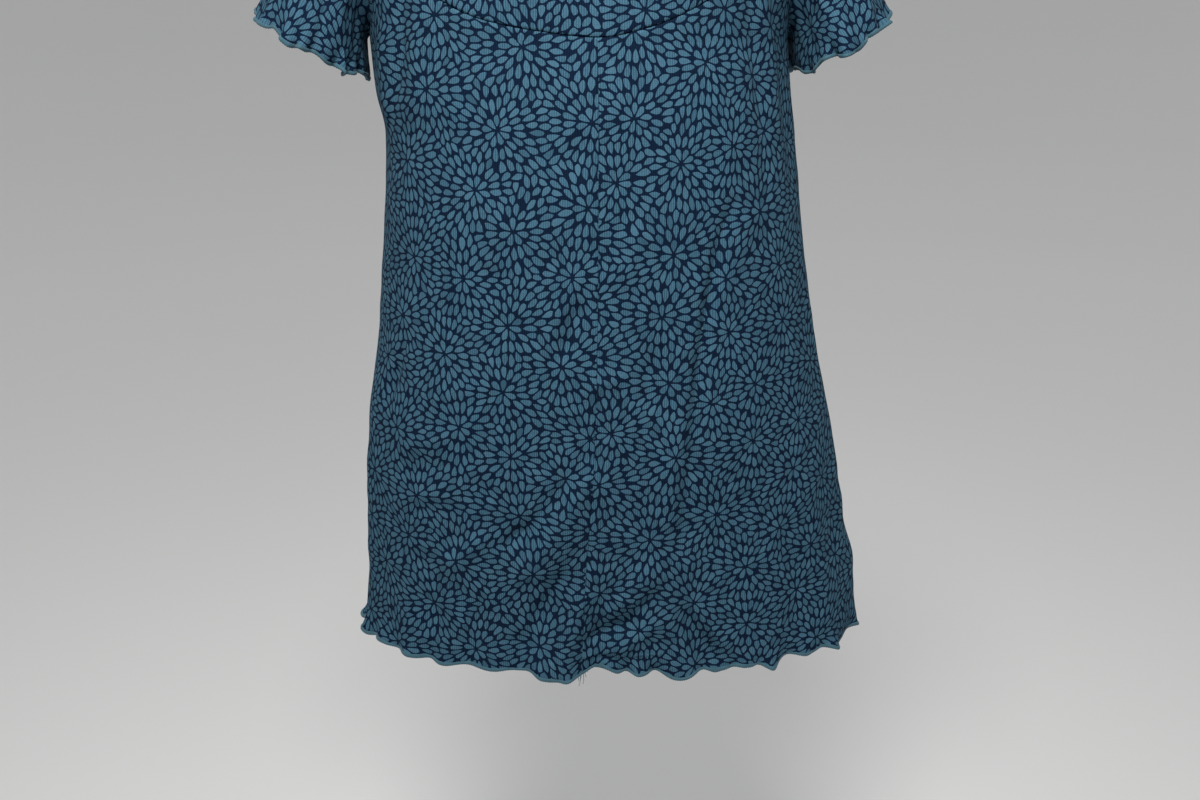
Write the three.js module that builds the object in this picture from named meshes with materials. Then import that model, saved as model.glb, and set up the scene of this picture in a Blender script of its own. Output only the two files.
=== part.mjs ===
// Short-sleeved shift dress in printed jersey, as worn: a hollow garment in six cut pieces.
// Millimetres, +Z up. The front faces -Y and the viewer's right is +X.
// The origin is midway between the shoulder seams, at the height where the wearer's shoulders carry it.
import * as THREE from 'three';

// ---------------------------------------------------------------- sizes
const WALL = 1.6;            // cloth wall
const SEAM_GAP = 0.3;        // between two pieces at a seam
const UNDERARM_Z = -190;     // where the side seams end
const HEM_Z = -668;          // level of the hem at the centre front
const HEM_TILT = 9;          // the hem hangs lower on the right than on the left
const NECK_HALF = 92;        // half the width of the neck at the shoulder seams
const NECK_SHARE = 0.5;      // share of the half-width of a piece that ends at the neck
const SHOULDER_HALF = 176;   // half the shoulder width
const NECK_POINT_Z = 20;     // where shoulder seam and neck meet
const SHOULDER_Z = -22;      // outer end of the shoulder seam
const FRONT_NECK = { z: -72, y: -64 };
const BACK_NECK = { z: 2, y: 46 };

// The tube below the underarm: half-widths to the left and right, depths to the front and back, roundness of the section
const BODY = [
  { z: -668, left: 190.7, right: 225.7, front: 107, back: 112, n: 2.5 },
  { z: -620, left: 183.6, right: 221.2, front: 110, back: 112, n: 2.45 },
  { z: -560, left: 181.9, right: 208.3, front: 116, back: 111, n: 2.35 },
  { z: -480, left: 177.1, right: 194.7, front: 123, back: 109, n: 2.3 },
  { z: -400, left: 165.2, right: 178.9, front: 126, back: 107, n: 2.2 },
  { z: -320, left: 157.5, right: 165.6, front: 126, back: 105, n: 2.15 },
  { z: -260, left: 153.0, right: 158.5, front: 123, back: 105, n: 2.1 },
  { z: -225, left: 158.5, right: 154.0, front: 119, back: 105, n: 2.1 },
  { z: -190, left: 160.5, right: 150.4, front: 113, back: 104, n: 2.1 },
];
// Where the centre-front seam runs: it swings to the left towards the hem
const CENTRE_SEAM = [
  { z: -668, x: -13.4 }, { z: -600, x: -11.5 }, { z: -545, x: -8.5 }, { z: -480, x: -4.5 }, { z: -400, x: -2.5 }, { z: -300, x: -1.5 }, { z: -190, x: -1 },
];
// The curved seam under the yoke, lowest at the centre front: share of the half-front, and height
const YOKE_SEAM = [
  { q: -1, z: -124 }, { q: -0.8, z: -140 }, { q: -0.55, z: -163 }, { q: -0.36, z: -176 }, { q: -0.18, z: -183 },
  { q: 0, z: -187 },
  { q: 0.18, z: -180 }, { q: 0.36, z: -167 }, { q: 0.55, z: -150 }, { q: 0.8, z: -130 }, { q: 1, z: -118 },
];
// How far round the section the armhole's edge lies, from the underarm (rise 0) to the shoulder (rise 1)
const ARMHOLE = [
  { rise: 0, front: 90, back: 90 }, { rise: 0.03, front: 83, back: 84 }, { rise: 0.1, front: 76, back: 78 }, { rise: 0.22, front: 70, back: 73 },
  { rise: 0.4, front: 66, back: 70 }, { rise: 0.6, front: 65, back: 70 }, { rise: 0.8, front: 66, back: 72 }, { rise: 1, front: 68, back: 74 },
];
// Soft folds: which half (-1 front, 1 back), angle at the top and the hem, first and last height, half-width and height of the ridge
const FOLDS = [
  { half: -1, top: 32, foot: 15, from: -285, to: -580, width: 12, rise: -4 },
  { half: -1, top: 22, foot: 11, from: -325, to: -585, width: 12, rise: 2.5 },
  { half: -1, top: 15, foot: 26, from: -550, to: -740, width: 13, rise: -3.5 },
  { half: -1, top: -4, foot: -24, from: -475, to: -600, width: 12, rise: 4 },
  { half: -1, top: -3, foot: -25, from: -500, to: -690, width: 13, rise: -3.5 },
  { half: -1, top: -3, foot: -14, from: -560, to: -740, width: 15, rise: 4 },
  { half: -1, top: -62, foot: -70, from: -150, to: -290, width: 18, rise: 4 },
  { half: -1, top: 62, foot: 66, from: -160, to: -330, width: 16, rise: -3 },
  { half: -1, top: 74, foot: 78, from: -420, to: -720, width: 24, rise: 5 },
  { half: -1, top: -70, foot: -76, from: -400, to: -720, width: 22, rise: 4 },
  { half: 1, top: -50, foot: -54, from: -300, to: -720, width: 26, rise: 6 },
  { half: 1, top: -26, foot: -30, from: -360, to: -720, width: 24, rise: -5 },
  { half: 1, top: 4, foot: -6, from: -280, to: -720, width: 26, rise: 6 },
  { half: 1, top: 26, foot: 24, from: -400, to: -720, width: 22, rise: -5 },
  { half: 1, top: 50, foot: 54, from: -330, to: -720, width: 26, rise: 6 },
];
// Sleeves: side, outer and inner ends of the sleeve hem in the plane through both arms, its half-depth, how far it sits forward
const SLEEVES = [
  { name: 'sleeve_left', side: -1, outX: 241, outZ: -173, inX: 164, inZ: -217, halfDepth: 66, forward: -4 },
  { name: 'sleeve_right', side: 1, outX: 223, outZ: -172, inX: 157, inZ: -215, halfDepth: 68, forward: -4 },
];

// ---------------------------------------------------------------- curves
const D2R = Math.PI / 180;
const clamp = (v, a, b) => Math.min(b, Math.max(a, v));
const smooth = (t) => t * t * (3 - 2 * t);

// A smooth monotone curve through two columns of a table
function curve(table, xKey, yKey) {
  const rows = [...table].sort((a, b) => a[xKey] - b[xKey]);
  const xs = rows.map((r) => r[xKey]), ys = rows.map((r) => r[yKey]);
  const h = [], d = [], m = [];
  for (let i = 0; i + 1 < xs.length; i++) { h.push(xs[i + 1] - xs[i]); d.push((ys[i + 1] - ys[i]) / h[i]); }
  for (let i = 0; i < xs.length; i++) {
    if (i === 0) m.push(d[0]);
    else if (i === xs.length - 1) m.push(d[i - 1]);
    else m.push(d[i - 1] * d[i] <= 0 ? 0 : 2 / (1 / d[i - 1] + 1 / d[i]));
  }
  return (x) => {
    const v = clamp(x, xs[0], xs[xs.length - 1]);
    let k = 0;
    while (k < h.length - 1 && v >= xs[k + 1]) k++;
    const t = (v - xs[k]) / h[k], t2 = t * t, t3 = t2 * t;
    return (2 * t3 - 3 * t2 + 1) * ys[k] + (t3 - 2 * t2 + t) * h[k] * m[k] + (-2 * t3 + 3 * t2) * ys[k + 1] + (t3 - t2) * h[k] * m[k + 1];
  };
}
const leftAt = curve(BODY, 'z', 'left'), rightAt = curve(BODY, 'z', 'right');
const frontAt = curve(BODY, 'z', 'front'), backAt = curve(BODY, 'z', 'back'), roundAt = curve(BODY, 'z', 'n');
const seamXAt = curve(CENTRE_SEAM, 'z', 'x'), yokeZAt = curve(YOKE_SEAM, 'q', 'z');
const armholeFront = curve(ARMHOLE, 'rise', 'front'), armholeBack = curve(ARMHOLE, 'rise', 'back');

// A point of the level section of the body: half is -1 for the front, 1 for the back
function section(half, phi, z) {
  const a = phi < 0 ? leftAt(z) : rightAt(z), b = half < 0 ? frontAt(z) : backAt(z), n = roundAt(z);
  const s = Math.sin(phi), c = Math.cos(phi);
  const rho = (Math.abs(s) ** n + Math.abs(c) ** n) ** (-1 / n);
  return [a * s * rho, half * b * c * rho];
}

// How far the folds lift the cloth at an angle and height
function foldLift(half, phi, z) {
  let lift = 0;
  for (const f of FOLDS) {
    if (f.half !== half) continue;
    const along = (f.from - z) / (f.from - f.to);
    if (along <= 0 || along >= 1) continue;
    const centre = (f.top + (f.foot - f.top) * along) * D2R;
    const reach = (half < 0 ? frontAt(z) : backAt(z)) * 1.35;
    const across = ((phi - centre) * reach) / f.width;
    const fade = f.to <= -700 ? smooth(clamp(along * 2.2, 0, 1)) : Math.sin(Math.PI * along) ** 2;
    lift += f.rise * fade * Math.exp(-across * across);
  }
  return lift;
}

// The angle of column q on the body. The centre-front seam is column 0 of the front.
function columnAngle(half, q, z, rise) {
  const limit = (half < 0 ? armholeFront(rise) : armholeBack(rise)) * D2R;
  const centre = half < 0 ? Math.asin(clamp(seamXAt(z) / (seamXAt(z) < 0 ? leftAt(z) : rightAt(z)), -1, 1)) : 0;
  return q * limit + centre * (1 - Math.abs(q));
}

// The bare body below the underarm
function lower(half, q, z) {
  const phi = columnAngle(half, q, z, 0);
  const [x, y] = section(half, phi, z);
  return [x, y, z, phi];
}

// The top edge of a piece: shoulder seam for the outer columns, neck for the inner ones
function topEdge(half, q) {
  const s = Math.sign(q) || 1, k = Math.abs(q);
  if (k >= NECK_SHARE) {
    const u = (k - NECK_SHARE) / (1 - NECK_SHARE);
    return [s * (NECK_HALF + (SHOULDER_HALF - NECK_HALF) * u), 0, NECK_POINT_Z + (SHOULDER_Z - NECK_POINT_Z) * u ** 1.15];
  }
  const neck = half < 0 ? FRONT_NECK : BACK_NECK;
  const w = (Math.PI / 2) * (k / NECK_SHARE);
  return [s * NECK_HALF * Math.sin(w), neck.y * Math.cos(w) ** 0.85, neck.z + (NECK_POINT_Z - neck.z) * (1 - Math.cos(w) ** 1.15)];
}

// The body above the underarm; rise runs from 0 at the underarm to 1 at the shoulder and neck
function upper(half, q, rise) {
  const z0 = UNDERARM_Z;
  const phi = columnAngle(half, q, z0, rise);
  const [rx, ry] = section(half, phi, z0);
  const [ex, ey, ez] = topEdge(half, q);
  const gx = rise ** 1.6;
  const round = 1 - (1 - rise ** 2) ** 0.55, plain = rise ** 2.1;
  const k = smooth(clamp((Math.abs(q) - 0.3) / 0.35, 0, 1));
  const fy = plain + (round - plain) * k;
  return [rx * (1 - gx) + ex * gx, ry * (1 - fy) + ey * fy, z0 + (ez - z0) * rise, phi];
}

const vec = (p) => new THREE.Vector3(p[0], p[1], p[2]);
// A point of the body's outer face, with its outward normal. v is in (-inf, 0] below the underarm as a height, and rises above it.
function bodyPoint(half, q, level) {
  const bare = (qq, l) => (l.rise > 0 ? upper(half, qq, l.rise) : lower(half, qq, l.z));
  const e = 1e-3;
  const lo = (l, d) => {
    if (l.rise > 0) return { z: l.z, rise: clamp(l.rise + d, 0, 0.9995) };
    return { z: l.z + d * 150, rise: 0 };
  };
  const p = vec(bare(q, level));
  const du = vec(bare(clamp(q + e, -1, 1), level)).sub(vec(bare(clamp(q - e, -1, 1), level)));
  const dv = vec(bare(q, lo(level, e))).sub(vec(bare(q, lo(level, -e))));
  const n = new THREE.Vector3().crossVectors(du, dv).normalize();
  if (half > 0) n.negate();
  if (level.rise > 0.94) {
    // near the shoulder seam both pieces lean on one shared upward direction
    const k = smooth(clamp((level.rise - 0.94) / 0.06, 0, 1)) * smooth(clamp((Math.abs(q) - NECK_SHARE + 0.12) / 0.12, 0, 1));
    const up = new THREE.Vector3(Math.sign(q) * 0.42, 0, 0.9).normalize();
    n.lerp(up, k).normalize();
  }
  const angle = bare(q, level)[3];
  const lift = foldLift(half, angle, p.z);
  return { p: p.addScaledVector(n, lift), n };
}

// ---------------------------------------------------------------- shells
// A closed wall from rows of points with normals. Rows and columns may close on themselves.
function shell(rows, { closeColumns = false } = {}) {
  const R = rows.length, C = rows[0].length;
  const positions = [], index = [];
  for (const side of [0, 1]) for (const row of rows) for (const { p, n } of row) {
    positions.push(p.x - side * WALL * n.x, p.y - side * WALL * n.y, p.z - side * WALL * n.z);
  }
  const id = (side, r, c) => side * R * C + r * C + (c % C);
  const quad = (a, b, c, d) => index.push(a, b, c, a, c, d);
  const lastColumn = closeColumns ? C : C - 1;
  for (let r = 0; r + 1 < R; r++) for (let c = 0; c < lastColumn; c++) {
    quad(id(0, r, c), id(0, r, c + 1), id(0, r + 1, c + 1), id(0, r + 1, c));
    quad(id(1, r, c), id(1, r + 1, c), id(1, r + 1, c + 1), id(1, r, c + 1));
  }
  for (let c = 0; c < lastColumn; c++) {
    quad(id(0, 0, c), id(1, 0, c), id(1, 0, c + 1), id(0, 0, c + 1));
    quad(id(0, R - 1, c), id(0, R - 1, c + 1), id(1, R - 1, c + 1), id(1, R - 1, c));
  }
  if (!closeColumns) for (let r = 0; r + 1 < R; r++) {
    quad(id(0, r, 0), id(0, r + 1, 0), id(1, r + 1, 0), id(1, r, 0));
    quad(id(0, r, C - 1), id(1, r, C - 1), id(1, r + 1, C - 1), id(0, r + 1, C - 1));
  }
  const g = new THREE.BufferGeometry();
  g.setAttribute('position', new THREE.Float32BufferAttribute(positions, 3));
  g.setIndex(index);
  // turn it the right way out
  let volume = 0;
  const P = (i) => new THREE.Vector3(positions[3 * i], positions[3 * i + 1], positions[3 * i + 2]);
  for (let i = 0; i < index.length; i += 3) volume += P(index[i]).dot(P(index[i + 1]).cross(P(index[i + 2]))) / 6;
  if (volume < 0) for (let i = 0; i < index.length; i += 3) { const t = index[i + 1]; index[i + 1] = index[i + 2]; index[i + 2] = t; }
  g.setIndex(index);
  g.computeVertexNormals();
  return g;
}

// Draw each free edge back by half the seam gap
function trim(rows, edges) {
  const R = rows.length, C = rows[0].length, g = SEAM_GAP / 2;
  const pull = (a, b) => a.p.addScaledVector(b.p.clone().sub(a.p).normalize(), g);
  if (edges.includes('first')) for (let c = 0; c < C; c++) pull(rows[0][c], rows[1][c]);
  if (edges.includes('last')) for (let c = 0; c < C; c++) pull(rows[R - 1][c], rows[R - 2][c]);
  if (edges.includes('left')) for (const row of rows) pull(row[0], row[1]);
  if (edges.includes('right')) for (const row of rows) pull(row[C - 1], row[C - 2]);
  return rows;
}

// Heights of the rows below the underarm: shared by every piece, so that side seams match
const LOWER_ROWS = 19;
const hemAt = (x) => HEM_Z - HEM_TILT * clamp(x / 200, -1.2, 1.2);
function lowerLevel(half, q, i) {
  const [x] = lower(half, q, HEM_Z);
  const hem = hemAt(x);
  const t = i / LOWER_ROWS;
  return { z: hem + (UNDERARM_Z - hem) * t, rise: 0 };
}
const riseOfHeight = (half, q, z) => (z - UNDERARM_Z) / (topEdge(half, q)[2] - UNDERARM_Z);

function columns(from, to, count) {
  return Array.from({ length: count + 1 }, (_, i) => from + ((to - from) * i) / count);
}

// A lower front, from hem to yoke seam
const STEP_ROWS = 3;
function lowerFront(side) {
  const qs = side < 0 ? columns(-1, 0, 12) : columns(0, 1, 12);
  const rows = [];
  for (let i = 0; i <= LOWER_ROWS; i++) rows.push(qs.map((q) => bodyPoint(-1, q, lowerLevel(-1, q, i))));
  for (let j = 1; j <= STEP_ROWS; j++) rows.push(qs.map((q) => {
    const rise = riseOfHeight(-1, q, yokeZAt(q)) * (j / STEP_ROWS);
    return bodyPoint(-1, q, { z: UNDERARM_Z, rise });
  }));
  return trim(rows, ['last', 'left', 'right']);
}

const YOKE_RISES = [0, 0.14, 0.3, 0.46, 0.61, 0.74, 0.85, 0.93, 0.975, 1];
function yoke() {
  const qs = columns(-1, 1, 24);
  const rows = YOKE_RISES.map((s) => qs.map((q) => {
    const start = riseOfHeight(-1, q, yokeZAt(q));
    return bodyPoint(-1, q, { z: UNDERARM_Z, rise: start + (1 - start) * s });
  }));
  return trim(rows, ['first', 'last', 'left', 'right']);
}

const BACK_RISES = [0.035, 0.1, 0.2, 0.32, 0.45, 0.58, 0.7, 0.81, 0.9, 0.96, 0.985, 1];
function back() {
  const qs = columns(-1, 1, 24);
  const rows = [];
  for (let i = 0; i <= LOWER_ROWS; i++) rows.push(qs.map((q) => bodyPoint(1, q, lowerLevel(1, q, i))));
  for (const rise of BACK_RISES) rows.push(qs.map((q) => bodyPoint(1, q, { z: UNDERARM_Z, rise })));
  return trim(rows, ['last', 'left', 'right']);
}

// ---------------------------------------------------------------- sleeves
// The armhole's edge as one loop: underarm, up the front, shoulder, down the back
function armholeLoop(side) {
  const loop = [];
  // the same rises as the rows of the pieces it meets, so that both edges run point to point
  const start = riseOfHeight(-1, side, yokeZAt(side));
  const front = [0];
  for (let j = 1; j <= STEP_ROWS; j++) front.push((start * j) / STEP_ROWS);
  for (const s of YOKE_RISES.slice(1)) front.push(start + (1 - start) * s);
  const at = (half, rise) => {
    const level = { z: UNDERARM_Z, rise: Math.max(rise, 1e-6) };
    const edge = bodyPoint(half, side, level);
    return { p: edge.p, n: edge.n };
  };
  for (const r of front) loop.push({ ...at(-1, r), up: r });
  for (const r of [...BACK_RISES].reverse().slice(1)) loop.push({ ...at(1, r), up: r });
  const top = front.length - 1;
  loop.top = top;
  // the two ends, where front and back meet, lean on the mean of both
  for (const k of [0, top]) loop[k].n = loop[k].n.clone().add(at(1, loop[k].up).n).normalize();
  // the way into the armhole, along the cloth and square to its edge
  const middle = new THREE.Vector3();
  for (const l of loop) middle.addScaledVector(l.p, 1 / loop.length);
  loop.forEach((l, i) => {
    const before = loop[(i + loop.length - 1) % loop.length].p, after = loop[(i + 1) % loop.length].p;
    l.out = new THREE.Vector3().crossVectors(after.clone().sub(before), l.n).normalize();
    if (l.out.dot(middle.clone().sub(l.p)) < 0) l.out.negate();
  });
  return loop;
}

const SLEEVE_ROWS = 9;
function sleeve(spec) {
  const { side } = spec;
  const loop = armholeLoop(side);
  const N = loop.length;
  // turn of each loop point about the armhole: -90 degrees at the underarm, 0 at the front, 90 at the shoulder
  const length = [0];
  for (let i = 1; i <= N; i++) length.push(length[i - 1] + loop[i % N].p.distanceTo(loop[i - 1].p));
  const top = loop.top;
  const turn = loop.map((_, i) => (i <= top ? (length[i] / length[top]) * Math.PI : Math.PI + ((length[i] - length[top]) / (length[N] - length[top])) * Math.PI));
  const centre = new THREE.Vector3((side * (spec.outX + spec.inX)) / 2, spec.forward, (spec.outZ + spec.inZ) / 2);
  const across = new THREE.Vector3((side * (spec.outX - spec.inX)) / 2, 0, (spec.outZ - spec.inZ) / 2);
  const hemPoint = (w) => {
    const wave = 2.2 * Math.sin(7 * w + side);
    const c = -Math.cos(w), s = Math.sin(w);
    return centre.clone().addScaledVector(across, c).add(new THREE.Vector3(0, -spec.halfDepth * s, 0)).add(new THREE.Vector3(0, 0, wave));
  };
  const axis = new THREE.Vector3(side * 0.42, 0, -0.91);
  const point = (i, t) => {
    const a = loop[i], w = turn[i];
    const high = (1 - Math.cos(w)) / 2; // 0 at the underarm, 1 at the shoulder
    const start = a.p.clone().addScaledVector(a.out, SEAM_GAP + 0.8 * (1 - high) ** 6);
    const end = hemPoint(w);
    const span = start.distanceTo(end);
    const leave = new THREE.Vector3(side, -0.15 * Math.sin(w), 0.1 - 0.6 * high).normalize();
    leave.lerp(a.out, 0.35).normalize();
    const t2 = t * t, t3 = t2 * t;
    const out = start.clone().multiplyScalar(2 * t3 - 3 * t2 + 1);
    out.addScaledVector(leave, (t3 - 2 * t2 + t) * (span * (0.75 + 0.25 * high) + 6));
    out.addScaledVector(end, -2 * t3 + 3 * t2);
    out.addScaledVector(axis, (t3 - t2) * span * 0.9);
    return out;
  };
  const rows = [];
  for (let r = 0; r <= SLEEVE_ROWS; r++) {
    const t = r / SLEEVE_ROWS;
    const row = [];
    for (let i = 0; i < N; i++) row.push({ p: point(i, t), n: null });
    rows.push(row);
  }
  for (let r = 0; r <= SLEEVE_ROWS; r++) for (let i = 0; i < N; i++) {
    const u0 = rows[r][(i + N - 1) % N].p, u1 = rows[r][(i + 1) % N].p;
    const v0 = rows[Math.max(0, r - 1)][i].p, v1 = rows[Math.min(SLEEVE_ROWS, r + 1)][i].p;
    const n = new THREE.Vector3().crossVectors(u1.clone().sub(u0), v1.clone().sub(v0)).normalize();
    if (side < 0) n.negate();
    rows[r][i].n = r === 0 ? loop[i].n.clone() : n;
  }
  return rows;
}

// ---------------------------------------------------------------- the dress
const cloth = (colour) => new THREE.MeshStandardMaterial({ color: colour, roughness: 0.88, metalness: 0.0 });
const dress = new THREE.Group();
function add(name, geometry, colour) {
  const mesh = new THREE.Mesh(geometry, cloth(colour));
  mesh.name = name;
  dress.add(mesh);
}
add('front_left', shell(lowerFront(-1)), 0x315a76);
add('front_right', shell(lowerFront(1)), 0x345e7a);
add('front_yoke', shell(yoke()), 0x39657f);
add('back', shell(back()), 0x2d536e);
for (const spec of SLEEVES) add(spec.name, shell(sleeve(spec), { closeColumns: true }), 0x386079);

export default dress;
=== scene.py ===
"""Short-sleeved shift dress in printed jersey: the looks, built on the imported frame."""
import math

import bpy
import numpy as np
from mathutils import Matrix, Vector
from mathutils.geometry import delaunay_2d_cdt


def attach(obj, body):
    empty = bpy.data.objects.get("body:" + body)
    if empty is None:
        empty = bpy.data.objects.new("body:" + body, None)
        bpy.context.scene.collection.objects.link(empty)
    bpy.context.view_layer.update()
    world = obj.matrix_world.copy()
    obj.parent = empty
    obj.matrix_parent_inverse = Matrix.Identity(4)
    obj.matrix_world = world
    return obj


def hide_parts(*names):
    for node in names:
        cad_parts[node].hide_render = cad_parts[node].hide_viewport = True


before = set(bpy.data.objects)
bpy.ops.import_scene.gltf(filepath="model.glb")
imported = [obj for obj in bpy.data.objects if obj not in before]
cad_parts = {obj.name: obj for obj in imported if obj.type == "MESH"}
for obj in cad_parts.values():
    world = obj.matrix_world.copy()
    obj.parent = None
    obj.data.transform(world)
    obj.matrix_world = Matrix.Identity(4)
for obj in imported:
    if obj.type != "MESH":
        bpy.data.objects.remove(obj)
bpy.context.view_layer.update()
MM = 0.001

# ------------------------------------------------------------------ camera
# 36 mm lens on a 36 mm sensor, level with the middle of the dress and 18 degrees down, a little to the viewer's left
CAM = {"distance": 940.0, "azimuth": -4.0, "height": -170.0, "pitch": 18.0, "aim_right": 0.573, "lens": 36.0}


def make_camera():
    az, pitch = math.radians(CAM["azimuth"]), math.radians(CAM["pitch"])
    pos = Vector((CAM["distance"] * math.sin(az), -CAM["distance"] * math.cos(az), CAM["height"])) * MM
    head = -az + math.radians(CAM["aim_right"])
    right = Vector((math.cos(head), -math.sin(head), 0))
    forward = Vector((math.sin(head), math.cos(head), 0)) * math.cos(pitch) + Vector((0, 0, -1)) * math.sin(pitch)
    up = right.cross(forward)
    data = bpy.data.cameras.new("camera")
    data.lens, data.sensor_width, data.sensor_fit = CAM["lens"], 36.0, "HORIZONTAL"
    data.clip_start, data.clip_end = 0.01, 60
    cam = bpy.data.objects.new("camera", data)
    bpy.context.scene.collection.objects.link(cam)
    m = Matrix((right, up, -forward)).transposed().to_4x4()
    m.translation = pos
    cam.matrix_world = m
    bpy.context.scene.camera = cam


make_camera()

# ------------------------------------------------------------------ sizes, as in the part's source (mm)
CLOTH = 0.9
UNDERARM_Z, HEM_Z, HEM_TILT = -190.0, -668.0, 9.0
NECK_HALF, NECK_SHARE, SHOULDER_HALF = 92.0, 0.5, 176.0
NECK_POINT_Z, SHOULDER_Z = 20.0, -22.0
FRONT_NECK, BACK_NECK = {"z": -72.0, "y": -64.0}, {"z": 2.0, "y": 46.0}

BODY = [  # z, left, right, front, back, roundness
    (-668, 190.7, 225.7, 107, 112, 2.5), (-620, 183.6, 221.2, 110, 112, 2.45), (-560, 181.9, 208.3, 116, 111, 2.35),
    (-480, 177.1, 194.7, 123, 109, 2.3), (-400, 165.2, 178.9, 126, 107, 2.2), (-320, 157.5, 165.6, 126, 105, 2.15),
    (-260, 153.0, 158.5, 123, 105, 2.1), (-225, 158.5, 154.0, 119, 105, 2.1), (-190, 160.5, 150.4, 113, 104, 2.1),
]
CENTRE_SEAM = [(-668, -13.4), (-600, -11.5), (-545, -8.5), (-480, -4.5), (-400, -2.5), (-300, -1.5), (-190, -1)]
YOKE_SEAM = [
    (-1, -124), (-0.8, -140), (-0.55, -163), (-0.36, -176), (-0.18, -183), (0, -187),
    (0.18, -180), (0.36, -167), (0.55, -150), (0.8, -130), (1, -118),
]
ARMHOLE = [  # rise, front angle, back angle
    (0, 90, 90), (0.03, 83, 84), (0.1, 76, 78), (0.22, 70, 73), (0.4, 66, 70), (0.6, 65, 70), (0.8, 66, 72), (1, 68, 74),
]
FOLDS = [  # half, angle at the top, at the foot, from z, to z, width, rise: those of the form that the creases below don't draw finer
    (-1, -62, -70, -150, -290, 18, 4), (-1, 62, 66, -160, -330, 16, -3), (-1, 74, 78, -420, -720, 24, 5),
    (-1, -70, -76, -400, -720, 22, 4), (1, -50, -54, -300, -720, 26, 6), (1, -26, -30, -360, -720, 24, -5),
    (1, 4, -6, -280, -720, 26, 6), (1, 26, 24, -400, -720, 22, -5), (1, 50, 54, -330, -720, 26, 6),
]
SLEEVES = {  # pitch: of the frill along the hem
    "sleeve_left": dict(side=-1, outX=241, outZ=-173, inX=164, inZ=-217, halfDepth=66, forward=-4, pitch=18.5),
    "sleeve_right": dict(side=1, outX=223, outZ=-172, inX=157, inZ=-215, halfDepth=68, forward=-4, pitch=25.0),
}


def curve(xs, ys):
    """A smooth monotone curve through a table."""
    o = np.argsort(xs)
    xs, ys = np.asarray(xs, float)[o], np.asarray(ys, float)[o]
    h = np.diff(xs)
    d = np.diff(ys) / h
    m = np.empty_like(ys)
    m[0], m[-1] = d[0], d[-1]
    for i in range(1, len(ys) - 1):
        m[i] = 0 if d[i - 1] * d[i] <= 0 else 2 / (1 / d[i - 1] + 1 / d[i])

    def at(x):
        x = np.clip(np.asarray(x, float), xs[0], xs[-1])
        k = np.clip(np.searchsorted(xs, x, side="right") - 1, 0, len(h) - 1)
        t = (x - xs[k]) / h[k]
        t2, t3 = t * t, t * t * t
        return (2 * t3 - 3 * t2 + 1) * ys[k] + (t3 - 2 * t2 + t) * h[k] * m[k] + (3 * t2 - 2 * t3) * ys[k + 1] + (t3 - t2) * h[k] * m[k + 1]

    return at


def table_curves(table, n):
    cols = list(zip(*table))
    return [curve(cols[0], cols[i]) for i in range(1, n + 1)]


left_at, right_at, front_at, back_at, round_at = table_curves(BODY, 5)
(seam_x_at,) = table_curves(CENTRE_SEAM, 1)
(yoke_z_at,) = table_curves(YOKE_SEAM, 1)
armhole_front, armhole_back = table_curves(ARMHOLE, 2)


def smooth(t):
    t = np.clip(t, 0, 1)
    return t * t * (3 - 2 * t)


def unit(v):
    return v / np.maximum(np.linalg.norm(v, axis=-1, keepdims=True), 1e-12)


def section(half, phi, z):
    a = np.where(phi < 0, left_at(z), right_at(z))
    b = front_at(z) if half < 0 else back_at(z)
    n = round_at(z)
    s, c = np.sin(phi), np.cos(phi)
    rho = (np.abs(s) ** n + np.abs(c) ** n) ** (-1 / n)
    return a * s * rho, half * b * c * rho


def fold_lift(half, phi, z):
    lift = np.zeros_like(z)
    reach = (front_at(z) if half < 0 else back_at(z)) * 1.35
    for h, top, foot, z0, z1, width, rise in FOLDS:
        if h != half:
            continue
        along = (z0 - z) / (z0 - z1)
        on = (along > 0) & (along < 1)
        centre = np.radians(top + (foot - top) * along)
        across = (phi - centre) * reach / width
        fade = smooth(along * 2.2) if z1 <= -700 else np.sin(np.pi * np.clip(along, 0, 1)) ** 2
        lift += np.where(on, rise * fade * np.exp(-across * across), 0)
    return lift


def column_angle(half, q, z, rise):
    limit = np.radians(armhole_front(rise) if half < 0 else armhole_back(rise))
    centre = 0.0
    if half < 0:
        x = seam_x_at(z)
        centre = np.arcsin(np.clip(x / np.where(x < 0, left_at(z), right_at(z)), -1, 1))
    return q * limit + centre * (1 - np.abs(q))


def top_edge(half, q):
    s, k = np.where(q < 0, -1.0, 1.0), np.abs(q)
    u = np.clip((k - NECK_SHARE) / (1 - NECK_SHARE), 0, 1)
    neck = FRONT_NECK if half < 0 else BACK_NECK
    w = np.clip(np.pi / 2 * k / NECK_SHARE, 0, np.pi / 2)
    cw = np.maximum(np.cos(w), 0)
    out = k >= NECK_SHARE
    x = np.where(out, NECK_HALF + (SHOULDER_HALF - NECK_HALF) * u, NECK_HALF * np.sin(w))
    y = np.where(out, 0, neck["y"] * cw ** 0.85)
    z = np.where(out, NECK_POINT_Z + (SHOULDER_Z - NECK_POINT_Z) * u ** 1.15, neck["z"] + (NECK_POINT_Z - neck["z"]) * (1 - cw ** 1.15))
    return s * x, y, z


def level(half, q, z):
    """A height as a level: its height below the underarm, and its share of the way to the top edge above it."""
    ztop = top_edge(half, q)[2]
    return np.minimum(z, UNDERARM_Z), np.clip((z - UNDERARM_Z) / (ztop - UNDERARM_Z), 0, 1)


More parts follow.
